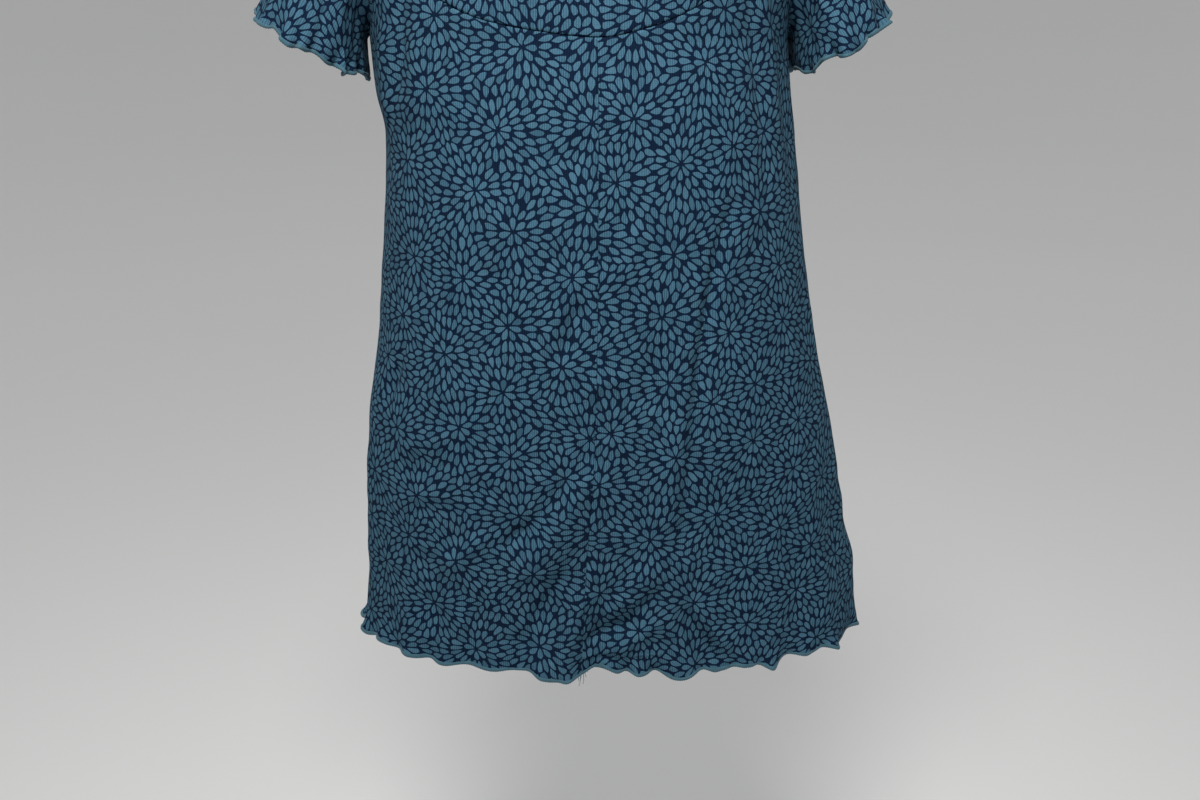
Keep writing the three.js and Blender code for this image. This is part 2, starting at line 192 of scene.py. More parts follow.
def bare(half, q, low, rise):
    """The body's outer face at column q, with its angle. rise is 0 below the underarm."""
    phi = column_angle(half, q, low, rise)
    rx, ry = section(half, phi, low)
    ex, ey, ez = top_edge(half, q)
    gx = rise ** 1.6
    rnd, plain = 1 - (1 - np.minimum(rise, 1) ** 2) ** 0.55, rise ** 2.1
    k = smooth((np.abs(q) - 0.3) / 0.35)
    fy = plain + (rnd - plain) * k
    z = np.where(rise > 0, UNDERARM_Z + (ez - UNDERARM_Z) * rise, low)
    return np.stack([rx * (1 - gx) + ex * gx, ry * (1 - fy) + ey * fy, z], -1), phi


def bare_normal(half, q, low, rise):
    e = 1e-3
    du = bare(half, np.clip(q + e, -1, 1), low, rise)[0] - bare(half, np.clip(q - e, -1, 1), low, rise)[0]
    up = rise > 0
    hi = bare(half, q, np.where(up, low, low + e * 150), np.where(up, np.clip(rise + e, 0, 0.9995), 0))[0]
    lo = bare(half, q, np.where(up, low, low - e * 150), np.where(up, np.clip(rise - e, 0, 0.999), 0))[0]
    n = unit(np.cross(du, hi - lo))
    if half > 0:
        n = -n
    k = smooth((rise - 0.94) / 0.06) * smooth((np.abs(q) - NECK_SHARE + 0.12) / 0.12)
    lean = unit(np.stack([np.sign(q) * 0.42, np.zeros_like(q), np.full_like(q, 0.9)], -1))
    return unit(n * (1 - k)[..., None] + lean * k[..., None])


def hem_at(x):
    return HEM_Z - HEM_TILT * np.clip(x / 200, -1.2, 1.2)


def hem_height(half, q):
    q = np.asarray(q, float)
    return hem_at(bare(half, q, np.full_like(q, HEM_Z), np.zeros_like(q))[0][..., 0])


# ------------------------------------------------------------------ small folds, creases and the frilled edge
# Creases drawn on the cloth: half, whether it runs mostly up ("v") or across ("h"), and its points,
# each a height, an angle from the front or back (degrees), a half-width and a lift (mm). With ">" the flank towards
# larger angles or heights falls away far more slowly than the other, with "<" the other one does
CREASES = [
    # long soft fold
    (-1, "v", ((-292, 36.9, 6, 0), (-302, 34.1, 6, -1.9), (-336, 29.2, 6, -4.5), (-374, 25.7, 6, -5.5), (-417, 22.8, 6, -5.5), (-463, 20.6, 6, -5.0), (-503, 19.0, 6.5, -4.0), (-553, 17.2, 7, -2.5), (-574, 16.4, 7, 0))),
    (-1, "v", ((-315, 29.5, 11, 0), (-367, 24.1, 12, 2.6), (-417, 20.0, 12, 3.4), (-470, 17.0, 12, 3.8), (-518, 14.8, 11, 3.4), (-556, 13.4, 10, 2.2), (-582, 12.4, 9, 0))),
    (-1, "v", ((-299, 43.1, 9, 0), (-318, 37.6, 9, 1.8), (-347, 33.3, 9, 0.8), (-383, 30.7, 9, 0))),
    # its right branch
    (-1, "v", ((-556, 12.9, 6, 0), (-583, 15.1, 6, -3.0), (-612, 17.4, 6, -4.3), (-637, 19.8, 7, -6.3), (-655, 22.6, 8, -6.9), (-671, 24.7, 8, -5.4))),
    (-1, "v", ((-552, 14.6, 6, 0), (-584, 17.0, 6, 2.5), (-614, 19.5, 6, 3.0), (-639, 22.9, 7, 3.6), (-663, 26.1, 8, 3.0))),
    (-1, "v", ((-576, 12.6, 6, 0), (-604, 13.7, 7, 3.0), (-632, 15.9, 7, 3.6), (-660, 18.1, 8, 3.6))),
    # its left branch
    (-1, "v>", ((-560, 11.9, 6, 0), (-572, 10.2, 6.5, 3.1), (-588, 7.6, 6.5, 5.6), (-606, 4.2, 6.5, 4.9), (-618, 1.2, 6, 2.1), (-625, -0.5, 6, 0))),
    (-1, "v", ((-582, 13.5, 6, 0), (-598, 10.8, 6, -3.8), (-613, 7.2, 6, -5.9), (-627, 3.4, 6, -5.9), (-637, -0.5, 6, -3.6), (-644, -4.7, 6, 0))),
    (-1, "v", ((-614, 12.8, 6, 0), (-630, 9.6, 7, 3.1), (-643, 4.9, 7, 3.6), (-652, 0.7, 7, 2.2), (-654, -2.6, 6, 0))),
    # strong ridge left of the seam
    (-1, "v>", ((-481, -1.8, 6, 0), (-497, -3.7, 7, 4.0), (-515, -6.8, 7, 6.0), (-535, -10.0, 7, 6.4), (-555, -13.3, 7.5, 6.1), (-572, -16.6, 8, 5.2), (-586, -19.4, 8, 2.0), (-598, -21.2, 8, 0))),
    (-1, "v", ((-485, -5.9, 7, 0), (-508, -9.7, 7, -2.1), (-526, -13.3, 7, -2.9), (-544, -17.3, 8, -2.9), (-557, -21.2, 8, -1.1), (-566, -24.3, 7, 0))),
    (-1, "v", ((-548, -5.3, 7, 0), (-568, -8.0, 7, -2.0), (-588, -10.4, 7, -4.2), (-611, -13.8, 7, -5.2), (-636, -17.2, 7.5, -4.4), (-651, -19.2, 8, -3.0), (-662, -20.2, 8, -2.4))),
    (-1, "v", ((-569, -1.1, 8, 0), (-591, -3.5, 9, 4.0), (-613, -5.6, 10, 6.8), (-635, -7.7, 10.5, 8.6), (-652, -8.9, 10.5, 10.0), (-664, -9.6, 10.5, 11.0))),
    (-1, "v", ((-590, 2.0, 6, 0), (-612, 0.5, 6, -3.1), (-634, -0.5, 6, -4.4), (-656, -1.0, 7, -5.0))),
    # short ones at the left
    (-1, "h<", ((-576, -40.5, 6, 0), (-570, -37.0, 6.5, 4.2), (-560, -32.1, 6.5, 5.4), (-551, -28.5, 6, 4.0), (-543, -24.5, 6, 0))),
    (-1, "h", ((-555, -24.6, 6, 0), (-549, -21.1, 7, -3.6), (-542, -18.0, 7, -3.4), (-534, -15.3, 6, 0))),
    # nip at the left side
    (-1, "v", ((-395, -55.5, 7, 0), (-415, -58.1, 8, -3.2), (-437, -60.8, 9, -5.4), (-451, -62.4, 9, -3.4), (-463, -64.1, 8, 0))),
    (-1, "h", ((-493, -58.7, 7, 0), (-482, -49.8, 7, 1.9), (-475, -43.0, 7, 2.1), (-468, -35.8, 7, 1.0), (-463, -30.6, 7, 0))),
    (-1, "h", ((-534, -59.0, 7, 0), (-523, -48.8, 8, 1.9), (-517, -41.0, 8, 1.8), (-511, -33.1, 8, 0))),
    (-1, "h", ((-509, -58.0, 7, 0), (-500, -48.2, 7, -1.3), (-491, -38.5, 7, -1.0), (-485, -31.8, 7, 0))),
    (-1, "h", ((-443, -45.8, 8, 0), (-435, -38.1, 8, 1.3), (-428, -31.3, 8, 1.3), (-422, -24.9, 8, 0))),
    # drag lines of the waist
    (-1, "v", ((-333, -4.7, 9, 0), (-354, -7.7, 9, 2.4), (-375, -10.8, 9, 2.6), (-397, -13.2, 9, 1.3), (-410, -15.0, 8, 0))),
    (-1, "v", ((-360, -4.8, 6, 0), (-375, -6.3, 7, -3.2), (-392, -8.2, 7, -3.2), (-409, -9.8, 7, 0))),
    (-1, "v", ((-305, 9.3, 8, 0), (-322, 7.8, 8, 2.1), (-341, 6.3, 8, 2.4), (-358, 4.8, 8, 0))),
    (-1, "h", ((-432, -5.3, 7, 0), (-425, -1.2, 7, 2.1), (-419, 3.5, 7, 1.9), (-417, 6.8, 7, 0))),
    (-1, "v", ((-393, 13.1, 6, 0), (-409, 12.0, 6, -2.1), (-430, 10.5, 6, -2.1), (-447, 9.5, 6, 0))),
    # chest
    (-1, "v", ((-216, 3.8, 10, 0), (-235, 1.8, 10, 1.8), (-261, -0.3, 10, 0))),
    (-1, "v", ((-241, -2.7, 8, 0), (-258, -4.8, 8, -1.8), (-278, -6.9, 8, 0))),
    (-1, "v", ((-289, -22.5, 9, 0), (-313, -25.4, 9, 2.1), (-338, -27.9, 9, 0))),
    (-1, "v", ((-336, -29.6, 8, 0), (-349, -26.5, 8, -2.3), (-368, -26.8, 8, 0))),
    # under the left arm
    (-1, "v", ((-103, -45.1, 10, 0), (-171, -46.6, 9, 2.5), (-197, -48.7, 9, 3.2), (-225, -51.8, 9, 2.5), (-251, -57.2, 8, 0))),
    (-1, "v", ((-116, -53.4, 7, 0), (-184, -54.9, 6, -2.5), (-210, -57.8, 6, -3.4), (-235, -62.9, 6, -2.5), (-262, -71.4, 6, 0))),
    (-1, "v", ((-109, -37.6, 9, 0), (-177, -39.1, 8, -1.8), (-209, -41.1, 8, -2.3), (-242, -44.5, 8, -1.4), (-273, -47.5, 8, 0))),
    # under the right arm
    (-1, "v", ((-101, 50.2, 11, 0), (-169, 51.7, 10, 1.8), (-203, 55.8, 10, 2.2), (-241, 56.9, 10, 1.4), (-277, 57.5, 9, 0))),
    (-1, "v", ((-102, 43.0, 9, 0), (-170, 44.5, 8, -1.8), (-216, 47.1, 8, -2.4), (-271, 48.6, 8, -1.8), (-314, 48.8, 8, 0))),
    (-1, "v", ((-151, 75.4, 7, 0), (-219, 76.9, 6, -1.6), (-248, 76.0, 6, -2.2), (-292, 86.8, 6, 0))),
    # lower sides
    (-1, "v", ((-511, 51.2, 10, 0), (-574, 53.3, 10, 2.4), (-630, 53.5, 10, 2.6), (-655, 55.1, 10, 2.4))),
    (-1, "v", ((-531, 43.7, 9, 0), (-584, 43.5, 9, -2.2), (-639, 43.4, 9, -2.6), (-663, 44.0, 9, -2.4))),
    (-1, "v", ((-577, -48.0, 9, 0), (-614, -49.5, 9, 2.4), (-649, -49.5, 9, 2.6))),
    (-1, "v", ((-581, -40.5, 8, 0), (-616, -40.7, 8, -2.0), (-652, -40.4, 8, -2.2))),
    (-1, "v", ((-603, 32.3, 8, 0), (-636, 33.5, 8, 2.2), (-669, 34.6, 8, 2.4))),
    (-1, "v", ((-595, -28.1, 8, 0), (-626, -30.1, 8, -2.2), (-657, -30.5, 8, -2.4))),
    (-1, "v", ((-605, -34.0, 7, 0), (-633, -35.2, 8, 2.2), (-655, -35.7, 8, 2.4))),
    # the chest above the seam
    (-1, "v", ((-45, 53, 9, 0), (-95, 46, 9, 1.6), (-150, 40, 10, 0))),
    (-1, "v", ((-45, -53, 9, 0), (-95, -46, 9, 1.6), (-150, -40, 10, 0))),
    (-1, "v", ((-85, 59, 7, 0), (-130, 56, 7, -2.0), (-175, 54, 8, 0))),
    (-1, "v", ((-85, 24, 11, 0), (-120, 18, 11, 1.0), (-165, 12, 12, 0))),
    (-1, "v", ((-85, -24, 11, 0), (-120, -18, 11, -1.0), (-165, -12, 12, 0))),
    # the right side of the front
    (-1, "v", ((-320, 66, 9, 0), (-400, 69, 10, 2.0), (-480, 71, 10, 0))),
    (-1, "v", ((-360, 48, 10, 0), (-430, 47, 10, -1.3), (-500, 45, 10, 0))),
    # the back: folds fall from the shoulder blades
    (1, "v", ((-60, -56, 10, 0), (-154, -56.2, 9, 2.6), (-249, -58.0, 9, 2.3), (-330, -60, 10, 0))),
    (1, "v", ((-90, -49, 9, 0), (-192, -48.8, 8, -2.4), (-293, -50.3, 8, -2.2), (-380, -52, 9, 0))),
    (1, "v", ((-70, 55, 10, 0), (-164, 58.0, 9, 2.8), (-259, 59.3, 9, 2.5), (-340, 60, 10, 0))),
    (1, "v", ((-100, 48, 9, 0), (-191, 49.9, 8, -2.4), (-282, 50.2, 8, -2.2), (-360, 50, 9, 0))),
    (1, "v", ((-150, -16, 12, 0), (-294, -13.8, 11, 2.4), (-437, -13.1, 11, 2.2), (-560, -13, 12, 0))),
    (1, "v", ((-210, -8, 10, 0), (-346, -5.0, 9, -2.6), (-483, -3.7, 9, -2.3), (-600, -3, 10, 0))),
    (1, "v", ((-180, 12, 11, 0), (-299, 13.9, 10, 2.4), (-418, 14.2, 10, 2.2), (-520, 14, 11, 0))),
    (1, "v", ((-230, 20, 10, 0), (-383, 22.6, 9, -2.8), (-537, 23.6, 9, -2.5), (-668, 24, 10, -2.8))),
    (1, "v", ((-300, -30, 10, 0), (-429, -30.9, 9, 3.0), (-558, -33.4, 9, 2.7), (-668, -36, 10, 3.0))),
    (1, "v", ((-380, -39, 9, 0), (-481, -39.9, 8, -3.0), (-582, -42.4, 8, -2.7), (-668, -45, 9, -3.0))),
    (1, "v", ((-330, 34, 10, 0), (-448, 37.3, 9, 3.0), (-567, 39.0, 9, 2.7), (-668, 40, 10, 3.0))),
    (1, "v", ((-300, 66, 10, 0), (-405, 69.3, 9, -2.6), (-510, 71.0, 9, -2.3), (-600, 72, 10, 0))),
    (1, "v", ((-260, -66, 10, 0), (-351, -67.6, 9, 2.4), (-442, -70.8, 9, 2.2), (-520, -74, 10, 0))),
    (1, "v", ((-470, 4, 10, 0), (-539, 6.6, 9, 3.0), (-609, 7.6, 9, 2.7), (-668, 8, 10, 3.0))),
    (1, "v", ((-500, -22, 9, 0), (-559, -19.4, 8, -2.8), (-618, -18.4, 8, -2.5), (-668, -18, 9, -2.8))),
    (1, "v", ((-520, -2, 9, 0), (-572, -3.2, 8, 2.6), (-624, -6.1, 8, 2.3), (-668, -9, 9, 2.6))),
    (1, "v", ((-440, 52, 9, 0), (-520, 52.2, 8, -2.6), (-600, 50.7, 8, -2.3), (-668, 49, 9, -2.6))),
]


def _crease_curves():
    out = []
    for half, kind, pts in CREASES:
        key, other = (0, 1) if kind[0] == "v" else (1, 0)
        k = [p[key] for p in pts]
        out.append((half, kind, min(k), max(k), pts, curve(k, [p[other] for p in pts]), curve(k, [p[2] for p in pts]), curve(k, [p[3] for p in pts])))
    return out


CREASE_CURVES = _crease_curves()


def crease_lift(half, phi, z):
    shape = z.shape
    deg, zf = np.degrees(phi).ravel(), z.ravel()
    reach = np.radians((front_at(zf) if half < 0 else back_at(zf)) * 1.35)
    lift = np.zeros_like(zf)
    for h, kind, lo, hi, pts, path, wide, high in CREASE_CURVES:
        if h != half:
            continue
        if kind[0] == "v":
            runs_out = pts[-1][3] != 0  # down to the hem
            near = (zf < hi) & ((zf > lo) | runs_out)
            near &= (deg > min(p[1] for p in pts) - 22) & (deg < max(p[1] for p in pts) + 22)
            k, d, r = zf[near], deg[near], reach[near]
            slope = (path(k + 1) - path(k - 1)) / 2 * r
            across = (d - path(k)) * r / np.sqrt(1 + slope ** 2)
        else:
            near = (deg > lo) & (deg < hi) & (zf > min(p[0] for p in pts) - 40) & (zf < max(p[0] for p in pts) + 40)
            k, d, r = deg[near], zf[near], reach[near]
            slope = (path(k + 0.3) - path(k - 0.3)) / 0.6 / r
            across = (d - path(k)) / np.sqrt(1 + slope ** 2)
        across = across / wide(k)
        if kind[1:] == ">":
            across = np.where(across > 0, across / 2.5, across)
        elif kind[1:] == "<":
            across = np.where(across < 0, across / 2.5, across)
        lift[near] += high(k) * np.exp(-np.abs(across) ** 1.8)
    return lift.reshape(shape)


def puckers(x, z):
    """Small shallow unevenness, some 35 to 55 mm long, stronger towards the hem."""
    u, v = 0.8 * x + 0.6 * z, 0.8 * z - 0.6 * x
    a = np.sin(x / 7.3 + 1.7 * np.sin(z / 31 + 0.5)) * np.sin(z / 9.1 + 1.3 * np.sin(x / 23 + 1.1))
    b = np.sin(u / 5.9 + 1.2 * np.sin(v / 17)) * np.sin(v / 8.3 + 2.1 + 0.9 * np.sin(x / 29))
    return (0.55 * a + 0.42 * b) * (0.45 + 0.75 * smooth((-430 - z) / 150))


def drift(x, y, z):
    """Slow unevenness of limp jersey, about a millimetre."""
    return (puckers(x + 0.6 * y, z) + 0.45 * np.sin(x / 31 + 1.3 * np.sin(z / 57) + 0.6) * np.sin(z / 43 + 0.4 * np.sin(y / 23))
            + 0.28 * np.sin(x / 15.5 - z / 37 + 1.9) + 0.22 * np.sin(z / 19 + x / 47 + 0.8 * np.sin(x / 21)))


# Frill of the rolled edge: waves per turn and their share; the frill is unevenly spaced
def frill(s, length, seed, pitch):
    """In-and-out and up-and-down wave of the edge at arc length s round a loop, its waves about a pitch apart."""
    rng = np.random.default_rng(seed)
    turns = s / length * 2 * np.pi
    p = rng.uniform(0, 2 * np.pi, 12)
    base = round(length / pitch)
    t = turns * base + 1.5 * np.sin(3 * turns + p[0]) + 1.1 * np.sin(7 * turns + p[1]) + 0.7 * np.sin(13 * turns + p[2])
    amp = 0.72 + 0.3 * np.sin(5 * turns + p[3]) + 0.22 * np.sin(11 * turns + p[4]) + 0.16 * np.sin(17 * turns + p[5])
    amp = np.clip(amp, 0.25, 1.4)
    wave = np.sin(t) + 0.2 * np.sin(2 * t + 0.9 * np.sin(4 * turns + p[6]))
    wave = wave + 0.25 * np.sin(turns * round(length / 52.0) + p[7])
    rise = np.cos(t + 0.5) * 0.55 + 0.6 * np.sin(turns * round(length / 1.45 / pitch) + p[8] + 0.8 * np.sin(4 * turns + p[9]))
    return amp * wave, amp * rise


HEM_TUCKS = [  # half, place along the hem (x, mm), rise, half-width: where the edge rides up or hangs lower
    (-1, 6, 5.0, 9), (-1, -34, -2.0, 16), (-1, 58, -2.5, 18), (-1, 118, 1.5, 14), (-1, -112, 1.6, 14), (-1, 175, 3.0, 16), (-1, -165, 2.5, 14),
    (-1, -72, 1.2, 9), (-1, 92, -1.4, 9), (1, -120, 2.5, 18), (1, 30, -2.5, 22), (1, 130, 2.0, 16), (1, -40, 2.0, 14),
]
HEM_FRILL, SLEEVE_FRILL = 4.9, 4.6
FRILL_DEPTH = 19.0
# how strongly the hem curls, along it: 0 to 1 the front from left to right, 1 to 2 the back from right to left
hem_curl = curve([0, 0.05, 0.12, 0.3, 0.47, 0.55, 0.66, 0.85, 1.0, 1.2, 1.5, 1.8, 2.0], [1.0, 0.95, 0.55, 0.5, 0.62, 0.9, 1.1, 1.0, 1.0, 0.9, 0.8, 0.95, 1.0])


# the hem loop, round the front from left to right and back again, as one run of arc length
def _loop_table():
    q = np.linspace(-1, 1, 801)
    f = bare(-1, q, hem_height(-1, q), 0 * q)[0]
    b = bare(1, q[::-1], hem_height(1, q[::-1]), 0 * q)[0]
    fs = np.concatenate([[0], np.cumsum(np.linalg.norm(np.diff(f, axis=0), axis=1))])
    bs = np.concatenate([[0], np.cumsum(np.linalg.norm(np.diff(b, axis=0), axis=1))])
    return q, fs, bs, fs[-1] + bs[-1]


_LQ, _LF, _LB, HEM_LOOP = _loop_table()


def hem_run(half, q):
    if half < 0:
        return np.interp(q, _LQ, _LF)
    return _LF[-1] + np.interp(-q, _LQ, _LB)


SEAM_DEPTH, SEAM_REACH, SEAM_LINE = 0.5, 3.4, 0.85


def groove(distance, sharp=1.15):
    """Cloth dips gently towards a seam, and turns in sharply at the seam line."""
    wide = np.clip(distance / SEAM_REACH, 0, 1)
    line = np.clip(distance / SEAM_LINE, 0, 1)
    return -SEAM_DEPTH * (1 - wide) ** 2 * min(1, sharp) - sharp * (1 - line) ** 2


def cloth_lift(half, phi, z):
    return fold_lift(half, phi, z) + crease_lift(half, phi, z)


def _side_table():
    """At the side seams the front's and the back's folds meet at their mean."""
    z = np.linspace(-700, UNDERARM_Z, 400)
    out = {}
    for side in (-1, 1):
        phi = np.full_like(z, side * np.pi / 2)
        f, b = cloth_lift(-1, phi, z), cloth_lift(1, phi, z)
        nf, nb = (bare_normal(h, np.full_like(z, float(side)), z, 0 * z) for h in (-1, 1))
        out[side] = (z, f, b, unit(nf + nb))
    return out


SIDE = _side_table()


def seam_distance(name, half, q, z, zt):
    """Distance (mm) along the cloth to a seam, near enough."""
    w = np.where(q < 0, left_at(z), right_at(z)) * 1.28
    if name == "centre":
        return np.where(z < yoke_z_at(q) + 0.5, np.abs(q) * w, 99.0)
    if name == "side":
        return np.hypot((1 - np.abs(q)) * w, np.maximum(z - UNDERARM_Z, 0))
    if name == "yoke":
        slope = (yoke_z_at(q + 0.01) - yoke_z_at(q - 0.01)) / (0.02 * w)
        return np.abs(z - yoke_z_at(q)) / np.sqrt(1 + slope ** 2)
    if name == "armhole":
        return np.hypot((1 - np.abs(q)) * w * 0.8, np.maximum(UNDERARM_Z - z, 0))
    if name == "shoulder":
        return np.where(np.abs(q) >= NECK_SHARE, 170 * 0.6 * np.clip((zt - z) / 170, 0, 1) ** 0.55, 99.0)
    raise KeyError(name)


def body_face(half, q, low, rise, seams, thickness=0.0):
    """The dress's finished outer face, or its inner one at a thickness."""
    p, phi = bare(half, q, low, rise)
    z = p[..., 2]
    n = bare_normal(half, q, low, rise)
    lift = cloth_lift(half, phi, z)
    near = smooth((np.abs(q) - 0.86) / 0.14)
    for side in (-1, 1):
        zs, f, b, ns = SIDE[side]
        k = np.where(np.sign(q) == side, near, 0)
        gap = np.interp(z, zs, (b - f) * 0.5 * (1 if half < 0 else -1))
        lift = lift + k * gap * np.clip(1 - (z - UNDERARM_Z) / 25, 0, 1)
        mean = np.stack([np.interp(z, zs, ns[:, i]) for i in range(3)], -1)
        kn = (np.where(np.sign(q) == side, smooth((np.abs(q) - 0.97) / 0.03), 0) * np.clip(1 - (z - UNDERARM_Z) / 25, 0, 1))[..., None]
        n = unit(n * (1 - kn) + mean * kn)
    lift = lift + drift(p[..., 0], p[..., 1], z)
    up = z - hem_height(half, q)
    run = hem_run(half, q)
    wave, lifted = frill(run, HEM_LOOP, 11, 30.0)
    curl = hem_curl(np.where(run < _LF[-1], run / _LF[-1], 1 + (run - _LF[-1]) / _LB[-1]))
    wave, lifted = wave * curl, lifted * curl
    fade = np.clip(1 - up / FRILL_DEPTH, 0, 1) ** 1.7
    lift = lift + HEM_FRILL * wave * fade
    zt = top_edge(half, q)[2]
    deep = np.zeros_like(lift)
    for name in seams:
        deep = np.minimum(deep, groove(seam_distance(name, half, q, z, zt), {"centre": 0.45, "yoke": 1.6}.get(name, 1.15)))
    lift = lift + deep
    p = p + n * (lift - thickness)[..., None]
    tuck = sum(np.where(half == h, r * np.exp(-((p[..., 0] - x) / w) ** 2), 0) for h, x, r, w in HEM_TUCKS)
    p[..., 2] += 2.6 * lifted * fade + tuck * np.clip(1 - up / 34, 0, 1) ** 1.5
    return p


# ------------------------------------------------------------------ sleeves, as in the part's source
STEP_ROWS = 3
YOKE_RISES = [0, 0.14, 0.3, 0.46, 0.61, 0.74, 0.85, 0.93, 0.975, 1]
BACK_RISES = [0.035, 0.1, 0.2, 0.32, 0.45, 0.58, 0.7, 0.81, 0.9, 0.96, 0.985, 1]
SEAM_GAP = 0.3


def armhole_loop(side, fine=4):
    """The armhole's finished edge as one loop: underarm, up the front, shoulder, down the back."""
    def along(half, rises):
        q, low = np.full(len(rises), float(side)), np.full(len(rises), UNDERARM_Z)
        r = np.maximum(rises, 1e-6)
        return body_face(half, q, low, r, ("armhole",)), bare_normal(half, q, low, r)

    zt = float(top_edge(-1, np.array([float(side)]))[2][0])
    start = float((yoke_z_at(side) - UNDERARM_Z) / (zt - UNDERARM_Z))
    front = [start * j / STEP_ROWS for j in range(STEP_ROWS + 1)] + [start + (1 - start) * s for s in YOKE_RISES[1:]]
    back_r = ([0.0] + BACK_RISES)[::-1]
    finer = lambda r: np.interp(np.linspace(0, len(r) - 1, (len(r) - 1) * fine + 1), np.arange(len(r)), r)
    pf, nf = along(-1, finer(front))
    pb, nb = along(1, finer(back_r))
    nf[-1] = unit(nf[-1] + nb[0])
    nf[0] = unit(nf[0] + nb[-1])
    p, n = np.concatenate([pf, pb[1:-1]]), np.concatenate([nf, nb[1:-1]])
    out = unit(np.cross(np.roll(p, -1, 0) - np.roll(p, 1, 0), n))
    out = np.where(((p.mean(0) - p) * out).sum(-1, keepdims=True) < 0, -out, out)
    return p, n, out, len(pf) - 1


class Sleeve:
    def __init__(self, name):
        s = SLEEVES[name]
        self.side, self.spec = s["side"], s
        p, n, out, top = armhole_loop(self.side)
        seg = np.linalg.norm(np.roll(p, -1, 0) - p, axis=1)
        length = np.concatenate([[0], np.cumsum(seg)])
        N = len(p)
        turn = np.where(np.arange(N + 1) <= top, length / length[top] * np.pi, np.pi + (length - length[top]) / (length[N] - length[top]) * np.pi)
        self.turn = turn
        self.p = np.concatenate([p, p[:1]])
        self.n = np.concatenate([n, n[:1]])
        self.out = np.concatenate([out, out[:1]])
        w = np.linspace(0, 2 * np.pi, 721)
        h = self.hem(w)
        self.hw, self.hs = w, np.concatenate([[0], np.cumsum(np.linalg.norm(np.diff(h, axis=0), axis=1))])

    def hem(self, w):
        s, side = self.spec, self.side
        centre = np.array([side * (s["outX"] + s["inX"]) / 2, s["forward"], (s["outZ"] + s["inZ"]) / 2])
        across = np.array([side * (s["outX"] - s["inX"]) / 2, 0, (s["outZ"] - s["inZ"]) / 2])
        wave = 2.2 * np.sin(7 * w + side)
        p = centre + across * (-np.cos(w))[..., None]
        p[..., 1] -= s["halfDepth"] * np.sin(w)
        p[..., 2] += wave
        return p

    def bare(self, w, t):
        side = self.side
        ip = lambda a: np.stack([np.interp(w, self.turn, a[:, k]) for k in range(3)], -1)
        a, out = ip(self.p), unit(ip(self.out))
        high = (1 - np.cos(w)) / 2
        start = a + out * (SEAM_GAP * 0.4 + 0.8 * (1 - high) ** 6)[..., None]
        end = self.hem(w)
        span = np.linalg.norm(end - start, axis=-1)
        leave = unit(np.stack([np.full_like(w, side), -0.15 * np.sin(w), 0.1 - 0.6 * high], -1))
        leave = unit(leave * 0.65 + out * 0.35)
        axis = np.array([side * 0.42, 0, -0.91])
        t2, t3 = t * t, t * t * t
        h = lambda v: v[..., None]
        return (start * h(2 * t3 - 3 * t2 + 1) + leave * h((t3 - 2 * t2 + t) * (span * (0.75 + 0.25 * high) + 6))
                + end * h(3 * t2 - 2 * t3) + axis * h((t3 - t2) * span * 0.9))

    def normal(self, w, t):
        e = 1e-3
        wrap = lambda v: np.mod(v, 2 * np.pi)
        du = self.bare(wrap(w + e), t) - self.bare(wrap(w - e), t)
        dv = self.bare(w, np.minimum(t + e, 1)) - self.bare(w, np.maximum(t - e, 0))
        n = unit(np.cross(du, dv))
        if self.side < 0:
            n = -n
        seam = unit(np.stack([np.interp(w, self.turn, self.n[:, k]) for k in range(3)], -1))
        k = np.clip(1 - t / 0.06, 0, 1)[..., None]
        return unit(n * (1 - k) + seam * k)

    # folds of the sleeve: place round the sleeve (degrees from the underarm, by the front), from, to, half-width, lift
    FOLDS = [(60, 0.05, 0.8, 7, -2.2), (78, 0.1, 1.2, 8, 2.4), (104, 0.25, 1.3, 9, -2.0), (128, 0.2, 1.2, 10, 1.8), (150, 0.1, 0.9, 9, -1.4),
             (176, 0.0, 0.7, 12, 1.0), (205, 0.2, 1.2, 10, -1.8), (232, 0.1, 1.3, 9, 2.2), (262, 0.2, 1.2, 9, -2.2), (296, 0.05, 0.9, 7, 2.0),
             (36, 0.1, 1.0, 6, 1.6), (322, 0.1, 1.0, 6, -1.6)]

    def face(self, w, t, thickness=0.0):
        w = np.clip(w, 0, 2 * np.pi)
        p, n = self.bare(w, t), self.normal(w, t)
        d = np.linalg.norm(p - self.bare(w, np.zeros_like(t)), axis=-1)
        lift = drift(p[..., 0] * 1.3 + 40 * self.side, p[..., 1] * 1.2, p[..., 2] * 1.3) * 0.8
        for deg, t0, t1, width, rise in self.FOLDS:
            along = np.clip((t - t0) / (t1 - t0), 0, 1)
            across = (np.degrees(w) - deg - 10 * self.side * (t - 0.5)) * (1.05 + 0.2 * np.sin(w)) / width
            fade = np.sin(np.pi * along) ** 1.2 if t1 <= 1 else smooth(along * 1.6)
            lift = lift + rise * fade * np.exp(-across * across)
        up = np.linalg.norm(self.hem(w) - p, axis=-1)
        wave, lifted = frill(np.interp(w, self.hw, self.hs), self.hs[-1], 23 + self.side, self.spec["pitch"])
        fade = np.where(t > 0.3, np.clip(1 - up / FRILL_DEPTH, 0, 1) ** 1.7, 0)
        lift = lift + SLEEVE_FRILL * wave * fade
        # the sleeve starts in the seam's dip and rises out of it
        lift = lift * smooth(d / 12) + (SEAM_DEPTH + 1.15) + groove(d)
        # the underarm stays clear of the body
        turn = np.minimum(w, 2 * np.pi - w)
        lift = lift * (1 - 0.7 * np.exp(-(turn / 0.45) ** 2) * smooth(d / 6))
        p = p + n * (lift - thickness)[..., None]
        p[..., 2] += 2.0 * lifted * fade
        return p


# ------------------------------------------------------------------ the print: petals in bursts
PETAL = {"pitch": 9.5, "across": 4.42, "length": 11.5, "width": 5.15, "gap": 0.92, "points": 12}
BURST_SPACING = 42.0


